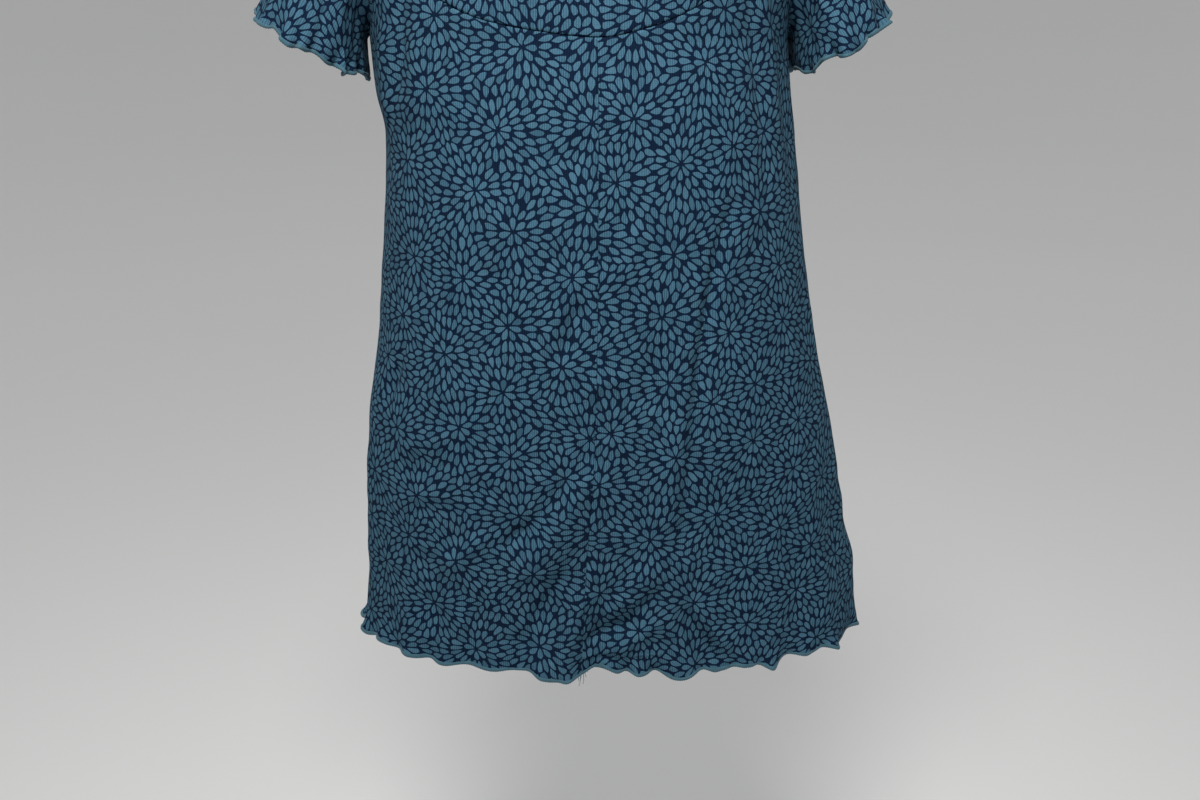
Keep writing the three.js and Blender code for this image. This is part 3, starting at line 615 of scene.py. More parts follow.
def neighbours(P, reach, keep):
    """For each point, the nearest others within reach: indexes, with -1 where there are none."""
    lo = P.min(0) - reach
    c = np.floor((P - lo) / reach).astype(int)
    ny = c[:, 1].max() + 3
    key = c[:, 0] * ny + c[:, 1]
    order = np.argsort(key, kind="stable")
    sk = key[order]
    cand = []
    for ox in (-1, 0, 1):
        for oy in (-1, 0, 1):
            k = key + ox * ny + oy
            a, b = np.searchsorted(sk, k, "left"), np.searchsorted(sk, k, "right")
            for m in range(int((b - a).max()) if len(a) else 0):
                i = a + m
                cand.append(np.where(i < b, order[np.minimum(i, len(order) - 1)], -1))
    C = np.stack(cand, 1)
    own = np.arange(len(P))[:, None]
    C = np.where(C == own, -1, C)
    d = np.where(C >= 0, np.linalg.norm(P[C] - P[:, None], axis=2), 1e9)
    o = np.argsort(d, axis=1, kind="stable")[:, :keep]
    C, d = np.take_along_axis(C, o, 1), np.take_along_axis(d, o, 1)
    return np.where(d < reach, C, -1)


def petal_field(lo, hi, seed, points):
    """Petals over a rectangle (mm): outlines (N, points, 2), centres and a tone each. A layout of its own for each piece."""
    rng = np.random.default_rng(seed)
    m = 26.0
    lo, hi = np.asarray(lo) - m, np.asarray(hi) + m
    # burst centres, evenly but loosely spread
    cells = []
    tries = rng.uniform(lo - 20, hi + 20, (6000, 2))
    need = BURST_SPACING * rng.uniform(0.8, 1.2, len(tries))
    for p, r in zip(tries, need):
        if all((p[0] - c[0]) ** 2 + (p[1] - c[1]) ** 2 > (0.5 * (r + c[2])) ** 2 for c in cells):
            cells.append((p[0], p[1], r))
    B = np.array([c[:2] for c in cells])
    pts, own, ring = [], [], []
    for b, c in enumerate(B):
        turn = rng.uniform(0, 2 * np.pi)
        for k in range(8):
            r = 5.7 + PETAL["pitch"] * k * rng.uniform(0.97, 1.03)
            n = int(round(2 * np.pi * r / PETAL["across"])) if k else int(rng.integers(7, 10))
            turn += np.pi / n * rng.uniform(0.6, 1.4)
            a = turn + 2 * np.pi * np.arange(n) / n + rng.normal(0, 0.07 if k else 0.08, n)
            rr = r + rng.normal(0, 0.45 if k == 0 else 1.3, n)
            pts.append(c + np.stack([np.cos(a), np.sin(a)], 1) * rr[:, None])
            own += [b] * n
            ring += [k] * n
    P, own, ring = np.concatenate(pts), np.array(own), np.array(ring)
    D = np.linalg.norm(P[:, None] - B[None], axis=2)
    near = D.argmin(1)
    inside = (P > lo).all(1) & (P < hi).all(1)
    keep = (near == own) & inside
    P, own, ring = P[keep], own[keep], ring[keep]

    def frames(P, own):
        er = unit(P - B[own])
        et = np.stack([-er[:, 1], er[:, 0]], 1)
        a, b = 1 / PETAL["pitch"] ** 2, 1 / PETAL["across"] ** 2
        return er, et, a * er[:, :, None] * er[:, None, :] + b * et[:, :, None] * et[:, None, :]

    def spacing(P, own, reach=15.0, keep=12):
        er, et, M = frames(P, own)
        J = neighbours(P, reach, keep)
        d = P[J] - P[:, None]
        MM_ = (M[:, None] + M[J]) / 2
        rho = np.sqrt(np.einsum("nki,nkij,nkj->nk", d, MM_, d))
        return J, d, MM_, np.where(J >= 0, rho, 9.0)

    def thin(P, own, ring, least):
        J, d, M, rho = spacing(P, own)
        drop = ((rho < least) & (J < np.arange(len(P))[:, None]) & (J >= 0)).any(1) & (ring > 0)
        return P[~drop], own[~drop], ring[~drop]

    def fill(P, own, ring, least, tries):
        extra = rng.uniform(lo, hi, (tries, 2))
        eo = np.linalg.norm(extra[:, None] - B[None], axis=2).argmin(1)
        allP, allO = np.concatenate([P, extra]), np.concatenate([own, eo])
        J, d, M, rho = spacing(allP, allO, 13.0, 22)
        n = len(P)
        bare_spot = (np.where(J < n, rho, 9.0)[n:] > least).all(1)
        taken = np.zeros(len(allP), bool)
        taken[:n] = True
        good = []
        for i in np.flatnonzero(bare_spot):
            g = n + i
            if not (taken[np.maximum(J[g], 0)] & (J[g] >= 0) & (rho[g] < least)).any():
                taken[g] = True
                good.append(i)
        return (np.concatenate([P, extra[good]]), np.concatenate([own, eo[good]]), np.concatenate([ring, np.full(len(good), 9)]))

    P, own, ring = thin(P, own, ring, 0.66)
    for least, rounds in ((0.86, 5), (0.83, 5), (0.80, 5), (0.78, 5), (0.76, 4)):
        P, own, ring = fill(P, own, ring, least, 3 * len(P))
        for _ in range(rounds):
            J, d, M, rho = spacing(P, own)
            push = np.where(J >= 0, np.clip(1.12 - rho, 0, 0.6), 0)
            step = -(unit(d) * push[..., None]).sum(1) * 1.9
            P = P + np.clip(step, -1.5, 1.5) * np.where(ring == 0, 0.12, np.where(ring == 1, 0.45, 1.0))[:, None]
        P, own, ring = thin(P, own, ring, 0.60)
    # outlines: the petal's own teardrop, pressed in where its neighbours are close
    er, et, M = frames(P, own)
    swing = rng.normal(0, 0.18, len(P)) * np.where(ring == 0, 0.3, 1)
    cs, sn = np.cos(swing)[:, None], np.sin(swing)[:, None]
    er, et = er * cs + et * sn, et * cs - er * sn
    J, d, MM_, rho = spacing(P, own, 19.0, 16)
    Md = np.einsum("nkij,nkj->nki", MM_, d)
    size = np.maximum(np.linalg.norm(Md, axis=2), 1e-9)
    dist = np.einsum("nki,nki->nk", d, Md) / 2 / size - PETAL["gap"] / 2 * rng.uniform(0.85, 1.2, (len(P), 1))
    nrm = Md / size[..., None]
    room = np.sort(rho, 1)[:, :6].mean(1)
    room = np.clip((room / np.median(room)) ** 1.2, 0.95, 1.35)
    L = PETAL["length"] / 2 * rng.uniform(0.88, 1.1, len(P)) * room
    W = PETAL["width"] / 2 * rng.uniform(0.9, 1.12, len(P)) * room
    K = points
    al = 2 * np.pi * (np.arange(K)) / K
    th = np.linspace(0, 2 * np.pi, 241)
    tx, ty = -np.cos(th), np.sin(th) * np.abs(np.sin(th / 2)) ** 1.6 * 1.45
    out = np.empty((len(P), K, 2))
    # each outline point lies in a direction spread evenly round the petal's ellipse
    ux, uy = np.cos(al)[None] * L[:, None], np.sin(al)[None] * W[:, None]
    r0 = np.hypot(ux, uy)
    ux, uy = ux / r0, uy / r0
    # the teardrop's reach in that direction
    shape_r = np.empty((len(P), K))
    ang_t = np.unwrap(np.arctan2(ty, tx))  # goes from pi at the tip round to -pi
    # reach on the unit shape scaled to L and W
    for k in range(K):
        a = np.arctan2(uy[:, k] / W, ux[:, k] / L)  # direction on the unit shape
        aa = np.mod(a, 2 * np.pi)
        ref = np.mod(np.arctan2(ty, tx), 2 * np.pi)
        o = np.argsort(ref[:-1])
        rr = np.interp(aa, ref[:-1][o], np.hypot(tx, ty)[:-1][o], period=2 * np.pi)
        shape_r[:, k] = rr * np.hypot(np.cos(a) * L, np.sin(a) * W)
    u = er[:, None] * ux[..., None] + et[:, None] * uy[..., None]
    proj = np.einsum("nki,nji->nkj", u, nrm)
    reach = np.where((proj > 0.08) & (J >= 0)[:, None, :], np.maximum(dist, 0.3)[:, None, :] / np.maximum(proj, 0.08), 1e3)
    p = 8.0
    R = (shape_r ** -p + (reach ** -p).sum(2)) ** (-1 / p)
    out = P[:, None] + u * R[..., None]
    area = 0.5 * np.abs((out[:, :, 0] * np.roll(out[:, :, 1], -1, 1) - out[:, :, 1] * np.roll(out[:, :, 0], -1, 1)).sum(1))
    ok = area > 9.0
    tone = rng.normal(0, 1, len(P))
    return out[ok], P[ok], tone[ok], B


# ------------------------------------------------------------------ flat patterns
class Pattern:
    """A piece's flat pattern: a grid over its two parameters with the cloth's own flat coordinates, and the way back."""

    def __init__(self, at, na, nb, mid):
        # at(a, b) gives points; mid is the column that stays upright
        a, b = np.linspace(0, 1, na), np.linspace(0, 1, nb)
        A, Bq = np.meshgrid(a, b, indexing="ij")
        S = at(A, Bq)
        e = 1e-4
        Sa = at(np.clip(A + e, 0, 1), Bq) - at(np.clip(A - e, 0, 1), Bq)
        ta = unit(Sa)
        col = np.diff(S, axis=1)
        tm = unit(ta[:, 1:] + ta[:, :-1])
        w = np.sqrt(np.maximum((col ** 2).sum(-1) - ((col * tm).sum(-1)) ** 2, 1e-8))
        V = np.concatenate([np.zeros((na, 1)), np.cumsum(w, 1)], 1)
        self.na, self.nb = na, nb
        self.V = V
        self.S = S
        self.mid = mid

    def level(self, V0):
        """Give each column its own starting height, then run the widths along the rows."""
        self.V = self.V + V0[:, None]
        S, V = self.S, self.V
        step = np.linalg.norm(np.diff(S, axis=0), axis=-1)
        du = np.sqrt(np.maximum(step ** 2 - np.diff(V, axis=0) ** 2, (0.15 * step) ** 2))
        U = np.concatenate([np.zeros((1, self.nb)), np.cumsum(du, 0)], 0)
        m = self.mid * (self.na - 1)
        k = int(np.floor(m))
        f = m - k
        ref = U[k] * (1 - f) + U[min(k + 1, self.na - 1)] * f
        self.U = U - ref[None]
        return self._relax()

    def _lay_out(self, S, rounds=80):
        """Lay a coarse grid out flat, each triangle turned but hardly stretched."""
        ni, nj = S.shape[:2]
        n = ni * nj
        idx = np.arange(n).reshape(ni, nj)
        q = idx[:-1, :-1].ravel(), idx[1:, :-1].ravel(), idx[1:, 1:].ravel(), idx[:-1, 1:].ravel()
        T = np.concatenate([np.stack([q[i] for i in t], 1) for t in ((0, 1, 2), (0, 2, 3), (0, 1, 3), (1, 2, 3))])
        P = S.reshape(-1, 3)
        e1, e2 = P[T[:, 1]] - P[T[:, 0]], P[T[:, 2]] - P[T[:, 0]]
        l1 = np.maximum(np.linalg.norm(e1, axis=1), 1e-6)
        X = np.zeros((len(T), 3, 2))
        X[:, 1, 0] = l1
        X[:, 2, 0] = (e1 * e2).sum(1) / l1
        X[:, 2, 1] = np.maximum(np.linalg.norm(np.cross(e1, e2), axis=1) / l1, 1e-6)
        W = np.empty((len(T), 3))
        for k in range(3):
            u, v = X[:, k] - X[:, (k + 2) % 3], X[:, (k + 1) % 3] - X[:, (k + 2) % 3]
            W[:, k] = np.clip((u * v).sum(1) / np.maximum(np.abs(u[:, 0] * v[:, 1] - u[:, 1] * v[:, 0]), 1e-9), 0.05, 8) / 2
        L = np.zeros((n, n))
        for k in range(3):
            i, j, w = T[:, k], T[:, (k + 1) % 3], W[:, k]
            np.add.at(L, (i, i), w)
            np.add.at(L, (j, j), w)
            np.add.at(L, (i, j), -w)
            np.add.at(L, (j, i), -w)
        L[0, 0] += 1.0
        back = np.linalg.inv(L)
        wide = np.linalg.norm(np.diff(S, axis=0), axis=2).sum(0).mean()
        tall = np.linalg.norm(np.diff(S, axis=1), axis=2).sum(1).mean()
        A, B = np.meshgrid(np.linspace(0, wide, ni), np.linspace(0, tall, nj), indexing="ij")
        F = np.stack([A.ravel(), B.ravel()], 1)
        for _ in range(rounds):
            cc, ss = np.zeros(len(T)), np.zeros(len(T))
            for k in range(3):
                x, u = X[:, k] - X[:, (k + 1) % 3], F[T[:, k]] - F[T[:, (k + 1) % 3]]
                cc += W[:, k] * (x * u).sum(1)
                ss += W[:, k] * (x[:, 0] * u[:, 1] - x[:, 1] * u[:, 0])
            r = np.maximum(np.hypot(cc, ss), 1e-12)
            cc, ss = cc / r, ss / r
            rhs = np.zeros((n, 2))
            for k in range(3):
                x = X[:, k] - X[:, (k + 1) % 3]
                t = W[:, k, None] * np.stack([cc * x[:, 0] - ss * x[:, 1], ss * x[:, 0] + cc * x[:, 1]], 1)
                np.add.at(rhs, T[:, k], t)
                np.add.at(rhs, T[:, (k + 1) % 3], -t)
            F = back @ rhs
        return F.reshape(ni, nj, 2)

    def _relax(self):
        """Ease the flat grid until its edges and diagonals have the cloth's own lengths, coarse grid first."""
        flat = self._lay_out(self.S[::4, ::4])
        i, j = np.arange(self.na) / 4, np.arange(self.nb) / 4
        i0, j0 = np.minimum(i.astype(int), flat.shape[0] - 2), np.minimum(j.astype(int), flat.shape[1] - 2)
        fi, fj = (i - i0)[:, None, None], (j - j0)[None, :, None]
        g = lambda a, b: flat[np.ix_(i0 + a, j0 + b)]
        F = g(0, 0) * (1 - fi) * (1 - fj) + g(1, 0) * fi * (1 - fj) + g(0, 1) * (1 - fi) * fj + g(1, 1) * fi * fj
        F += np.array([self.U[0, 0], self.V[0, 0]]) - F[0, 0]
        for stride, rounds in ((2, 60), (1, 40)):
            S, f = self.S[::stride, ::stride], F[::stride, ::stride].copy()
            ni, nj = f.shape[:2]
            links = []
            for di, dj in ((1, 0), (0, 1), (1, 1), (1, -1)):
                p = (slice(0, ni - di), slice(max(0, -dj), nj - max(0, dj)))
                q = (slice(di, ni), slice(max(0, dj), nj - max(0, -dj)))
                rest = np.linalg.norm(S[q] - S[p], axis=2)
                links.append((p, q, rest, 1.0 if di * dj == 0 else 0.6))
            total = np.zeros((ni, nj, 1))
            for p, q, rest, w in links:
                total[p] += w
                total[q] += w
            for _ in range(rounds):
                move = np.zeros_like(f)
                for p, q, rest, w in links:
                    d = f[q] - f[p]
                    c = d * (w * 0.5 * (1 - rest / np.maximum(np.linalg.norm(d, axis=2), 1e-6)))[..., None]
                    move[p] += c
                    move[q] -= c
                f += move / total * 1.6
            shift = f - F[::stride, ::stride]
            i, j = np.arange(self.na) / stride, np.arange(self.nb) / stride
            i0, j0 = np.minimum(i.astype(int), ni - 2), np.minimum(j.astype(int), nj - 2)
            fi, fj = (i - i0)[:, None, None], (j - j0)[None, :, None]
            g = lambda a, b: shift[np.ix_(i0 + a, j0 + b)]
            F = F + g(0, 0) * (1 - fi) * (1 - fj) + g(1, 0) * fi * (1 - fj) + g(0, 1) * (1 - fi) * fj + g(1, 1) * fi * fj
        # stand the upright column straight up, with its foot where it was
        k = int(round(self.mid * (self.na - 1)))
        up = F[k, -1] - F[k, 0]
        turn = math.atan2(up[0], up[1])
        c, s = math.cos(turn), math.sin(turn)
        foot = F[k, 0].copy()
        R = F - foot
        F = np.stack([R[..., 0] * c - R[..., 1] * s, R[..., 0] * s + R[..., 1] * c], 2) + np.array([0, foot[1]])
        self.U, self.V = F[..., 0], F[..., 1]
        return self

    def flat(self, a, b):
        return self._interp(self.U, a, b), self._interp(self.V, a, b)

    def _cell(self, a, b):
        x, y = a * (self.na - 1), b * (self.nb - 1)
        i, j = np.clip(np.floor(x).astype(int), 0, self.na - 2), np.clip(np.floor(y).astype(int), 0, self.nb - 2)
        return i, j, x - i, y - j

    def _interp(self, G, a, b):
        i, j, fx, fy = self._cell(a, b)
        return (G[i, j] * (1 - fx) * (1 - fy) + G[i + 1, j] * fx * (1 - fy) + G[i, j + 1] * (1 - fx) * fy + G[i + 1, j + 1] * fx * fy)

    def back(self, u, v):
        """Parameters (a, b) of flat points."""
        sa, sb = max(1, self.na // 24), max(1, self.nb // 32)
        gi, gj = np.meshgrid(np.arange(0, self.na, sa), np.arange(0, self.nb, sb), indexing="ij")
        gu, gv = self.U[gi, gj].ravel(), self.V[gi, gj].ravel()
        a, b = np.empty_like(u), np.empty_like(v)
        for s in range(0, len(u), 4000):
            d = (u[s:s + 4000, None] - gu[None]) ** 2 + (v[s:s + 4000, None] - gv[None]) ** 2
            k = d.argmin(1)
            a[s:s + 4000] = gi.ravel()[k] / (self.na - 1)
            b[s:s + 4000] = gj.ravel()[k] / (self.nb - 1)
        for _ in range(12):
            i, j, fx, fy = self._cell(a, b)
            res = []
            for G in (self.U, self.V):
                g00, g10, g01, g11 = G[i, j], G[i + 1, j], G[i, j + 1], G[i + 1, j + 1]
                val = g00 * (1 - fx) * (1 - fy) + g10 * fx * (1 - fy) + g01 * (1 - fx) * fy + g11 * fx * fy
                ga = ((g10 - g00) * (1 - fy) + (g11 - g01) * fy) * (self.na - 1)
                gb = ((g01 - g00) * (1 - fx) + (g11 - g10) * fx) * (self.nb - 1)
                res.append((val, ga, gb))
            (U, Ua, Ub), (V, Va, Vb) = res
            det = Ua * Vb - Ub * Va
            det = np.where(np.abs(det) < 1e-6, 1e-6, det)
            ru, rv = u - U, v - V
            da = np.clip((ru * Vb - rv * Ub) / det, -0.08, 0.08)
            db = np.clip((Ua * rv - Va * ru) / det, -0.08, 0.08)
            a, b = np.clip(a + da, -0.02, 1.02), np.clip(b + db, -0.02, 1.02)
        return np.clip(a, 0, 1), np.clip(b, 0, 1)

    def boundary(self, step):
        """The outline as parameters, counter-clockwise, with points about a step apart."""
        runs = []
        for side in range(4):
            n = 400
            t = np.linspace(0, 1, n)
            a, b = ((t, 0 * t), (1 + 0 * t, t), (1 - t, 1 + 0 * t), (0 * t, 1 - t))[side]
            u, v = self.flat(a, b)
            s = np.concatenate([[0], np.cumsum(np.hypot(np.diff(u), np.diff(v)))])
            k = max(2, int(round(s[-1] / (step[side] if isinstance(step, (tuple, list)) else step))))
            want = np.linspace(0, s[-1], k + 1)[:-1]
            runs.append(np.stack([np.interp(want, s, a), np.interp(want, s, b), np.full(len(want), side)], 1))
        return np.concatenate(runs)


# ------------------------------------------------------------------ the pieces' parameters: a across from 0 to 1, b up from 0 to 1
BACK_SPLIT = 0.72


def _steep(q):
    return 1 + 0.82 * smooth((np.abs(q) - 0.3) / 0.35)


def at_front(lo, hi):
    def params(a, b):
        q = lo + (hi - lo) * a
        hem = hem_height(-1, q)
        return (q, *level(-1, q, hem + (yoke_z_at(q) - hem) * b))
    return params


def at_yoke(a, b):
    q = 2 * a - 1
    r0 = (yoke_z_at(q) - UNDERARM_Z) / (top_edge(-1, q)[2] - UNDERARM_Z)
    return q, np.full_like(q, UNDERARM_Z), 1 - (1 - r0) * (1 - b) ** _steep(q)


def at_back(a, b):
    q = 2 * a - 1
    hem = hem_height(1, q)
    low = hem + (UNDERARM_Z - hem) * np.clip(b / BACK_SPLIT, 0, 1)
    up = np.clip((b - BACK_SPLIT) / (1 - BACK_SPLIT), 0, 1)
    return q, low, np.where(b > BACK_SPLIT, 1 - (1 - up) ** _steep(q), 0)


class Panel:
    def __init__(self, half, params, seams):
        self.half, self.params, self.seams = half, params, seams
        self.flip = half > 0

    def bare(self, a, b):
        return bare(self.half, *self.params(a, b))[0]

    def face(self, a, b):
        return body_face(self.half, *self.params(a, b), self.seams)


class SleevePanel:
    def __init__(self, name):
        self.sleeve = Sleeve(name)
        w, t = np.linspace(0.5, 5.5, 40), np.full(40, 0.6)
        a, b = w / 2 / np.pi, 1 - t
        turn = np.cross(self.bare(a + 1e-3, b) - self.bare(a - 1e-3, b), self.bare(a, b + 1e-3) - self.bare(a, b - 1e-3))
        self.flip = bool((turn * (self.bare(a, b) - self.bare(a, b).mean(0))).sum() < 0)

    def bare(self, a, b):
        return self.sleeve.bare(2 * np.pi * a, 1 - b)

    def face(self, a, b):
        return self.sleeve.face(2 * np.pi * a, 1 - b)


PANELS = {  # what it is, grid across and up, upright column, starting height, seed of its print, outline steps (bottom, right, top, left)
    "front_left": dict(make=lambda: Panel(-1, at_front(-1.0, 0.0), ("centre", "side", "yoke", "armhole")), grid=(61, 161), mid=1.0, seed=3, step=(1.6, 3, 2.5, 3), seamed=(1, 2, 3)),
    "front_right": dict(make=lambda: Panel(-1, at_front(0.0, 1.0), ("centre", "side", "yoke", "armhole")), grid=(61, 161), mid=0.0, seed=8, step=(1.6, 3, 2.5, 3), seamed=(1, 2, 3)),
    "front_yoke": dict(make=lambda: Panel(-1, at_yoke, ("yoke", "shoulder", "armhole")), grid=(121, 61), mid=0.5, seed=21, step=(2.5, 3, 2.5, 3), seamed=(0, 1, 2, 3)),
    "back": dict(make=lambda: Panel(1, at_back, ("side", "shoulder", "armhole")), grid=(121, 201), mid=0.5, seed=34, points=10, step=(1.6, 3.5, 3, 3.5), seamed=(1, 2, 3)),
    "sleeve_left": dict(make=lambda: SleevePanel("sleeve_left"), grid=(97, 61), mid=0.5, seed=55, print=0.96, step=(1.6, 2.5, 2.5, 2.5), seamed=(1, 2, 3)),
    "sleeve_right": dict(make=lambda: SleevePanel("sleeve_right"), grid=(97, 61), mid=0.5, seed=89, print=0.96, step=(1.6, 2.5, 2.5, 2.5), seamed=(1, 2, 3)),
}
FRILLED = {"front_left", "front_right", "back", "sleeve_left", "sleeve_right"}


def inside(poly, pts):
    """Which points lie in a closed outline."""
    x, y = pts[:, 0], pts[:, 1]
    hit = np.zeros(len(pts), bool)
    n = np.roll(poly, -1, 0)
    for (x0, y0), (x1, y1) in zip(poly, n):
        if y0 == y1:
            continue
        cross = (y0 > y) != (y1 > y)
        if cross.any():
            hit ^= cross & (x < (x1 - x0) * (y - y0) / (y1 - y0) + x0)
    return hit


def triangulate(outline, outline_ab, petals, extra, pattern):
    """The cloth's flat triangles, with the petals' outlines kept: flat points, parameters, triangles, petal of each, edge loop."""
    nb, (npet, k, _) = len(outline), petals.shape
    pts = np.concatenate([outline, petals.reshape(-1, 2), extra])
    faces = [list(range(nb))] + (nb + np.arange(npet * k).reshape(npet, k)).tolist()
    vo, _, fo, ov, _, of = delaunay_2d_cdt([Vector(p) for p in pts.tolist()], [], faces, 1, 1e-4)
    flat = np.array([tuple(v) for v in vo])
    keep, pet = [], []
    for f, o in zip(fo, of):
        if 0 in o:
            keep.append(f)
            pet.append(max(o) - 1)
    tri, pet = np.array(keep), np.array(pet)
    # parameters of every point
    ab = np.stack(pattern.back(flat[:, 0], flat[:, 1]), 1)
    place = np.full(len(flat), -1.0)
    for i, o in enumerate(ov):
        m = min(o) if len(o) else -1
        if 0 <= m < nb:
            place[i] = m
            ab[i] = outline_ab[m]
    # the free edge
    e = np.sort(np.concatenate([tri[:, [0, 1]], tri[:, [1, 2]], tri[:, [2, 0]]]), 1)
    ue, count = np.unique(e, axis=0, return_counts=True)
    rim = np.unique(ue[count == 1])
    nxt = np.roll(outline, -1, 0)
    for i in rim[place[rim] < 0]:
        d = nxt - outline
        t = np.clip(((flat[i] - outline) * d).sum(1) / (d * d).sum(1), 0, 1)
        m = np.linalg.norm(outline + d * t[:, None] - flat[i], axis=1).argmin()
        place[i] = m + t[m]
        a0, a1 = outline_ab[m], outline_ab[(m + 1) % nb]
        ab[i] = a0 + (a1 - a0) * t[m]
    rim = rim[np.argsort(place[rim], kind="stable")]
    used = np.unique(tri)
    new = np.full(len(flat), -1)
    new[used] = np.arange(len(used))
    return flat[used], ab[used], new[tri], pet, new[rim], place[rim]


def zipper(a, pa, b, pb, n):
    """Triangles of the narrow wall between two loops that run together."""
    i = j = 0
    out = []
    na, nb = len(a), len(b)
    while i < na or j < nb:
        nxa = pa[i + 1] if i + 1 < na else n + pa[0] + (0 if i + 1 == na else 1e9)
        nxb = pb[j + 1] if j + 1 < nb else n + pb[0] + (0 if j + 1 == nb else 1e9)
        if i >= na or (j < nb and nxb < nxa):
            out.append((a[i % na], b[(j + 1) % nb], b[j % nb]))
            j += 1
        else:
            out.append((a[i % na], a[(i + 1) % na], b[j % nb]))
            i += 1
    return np.array(out)


def spread(lo, hi, step, rng):
    x, y = np.meshgrid(np.arange(lo[0], hi[0], step), np.arange(lo[1], hi[1], step * 0.9), indexing="ij")
    x = x + (np.arange(x.shape[1]) % 2)[None] * step / 2
    p = np.stack([x.ravel(), y.ravel()], 1)
    return p + rng.uniform(-0.2, 0.2, p.shape) * step


def add_mesh(name, verts, tris, mats, slots, normals=None, uvs=None, bake=None, tone=None):
    me = bpy.data.meshes.new(name)
    me.vertices.add(len(verts))
    me.vertices.foreach_set("co", np.asarray(verts, np.float32).ravel() * MM)
    me.loops.add(len(tris) * 3)
    me.loops.foreach_set("vertex_index", np.asarray(tris, np.int32).ravel())
    me.polygons.add(len(tris))
    me.polygons.foreach_set("loop_start", np.arange(0, len(tris) * 3, 3, dtype=np.int32))
    me.polygons.foreach_set("loop_total", np.full(len(tris), 3, np.int32))
    for m in mats:
        me.materials.append(m)
    me.polygons.foreach_set("material_index", np.asarray(slots, np.int32))
    me.polygons.foreach_set("use_smooth", np.ones(len(tris), bool))
    me.update(calc_edges=True)
    if uvs is not None:
        me.uv_layers.new(name="cloth").data.foreach_set("uv", np.asarray(uvs, np.float32)[np.asarray(tris).ravel()].ravel())
    if bake is not None:
        me.uv_layers.new(name="OFBake").data.foreach_set("uv", np.asarray(bake, np.float32)[np.asarray(tris).ravel()].ravel())
    if tone is not None:
        me.attributes.new("tone", "FLOAT", "FACE").data.foreach_set("value", np.asarray(tone, np.float32))
    if normals is not None:
        me.normals_split_custom_set_from_vertices([tuple(n) for n in np.asarray(normals, float).tolist()])
    ob = bpy.data.objects.new(name, me)
    bpy.context.scene.collection.objects.link(ob)
    return ob


def finished(panel, ab, ea, eb):
    """The finished cloth's points and normals."""
    a, b = ab[:, 0], ab[:, 1]
    p = panel.face(a, b)
    a0, a1 = np.clip(a - ea, 0, 1), np.clip(a + ea, 0, 1)
    b0, b1 = np.clip(b - eb, 0, 1), np.clip(b + eb, 0, 1)
    n = unit(np.cross(panel.face(a1, b) - panel.face(a0, b), panel.face(a, b1) - panel.face(a, b0)))
    return p, -n if panel.flip else n


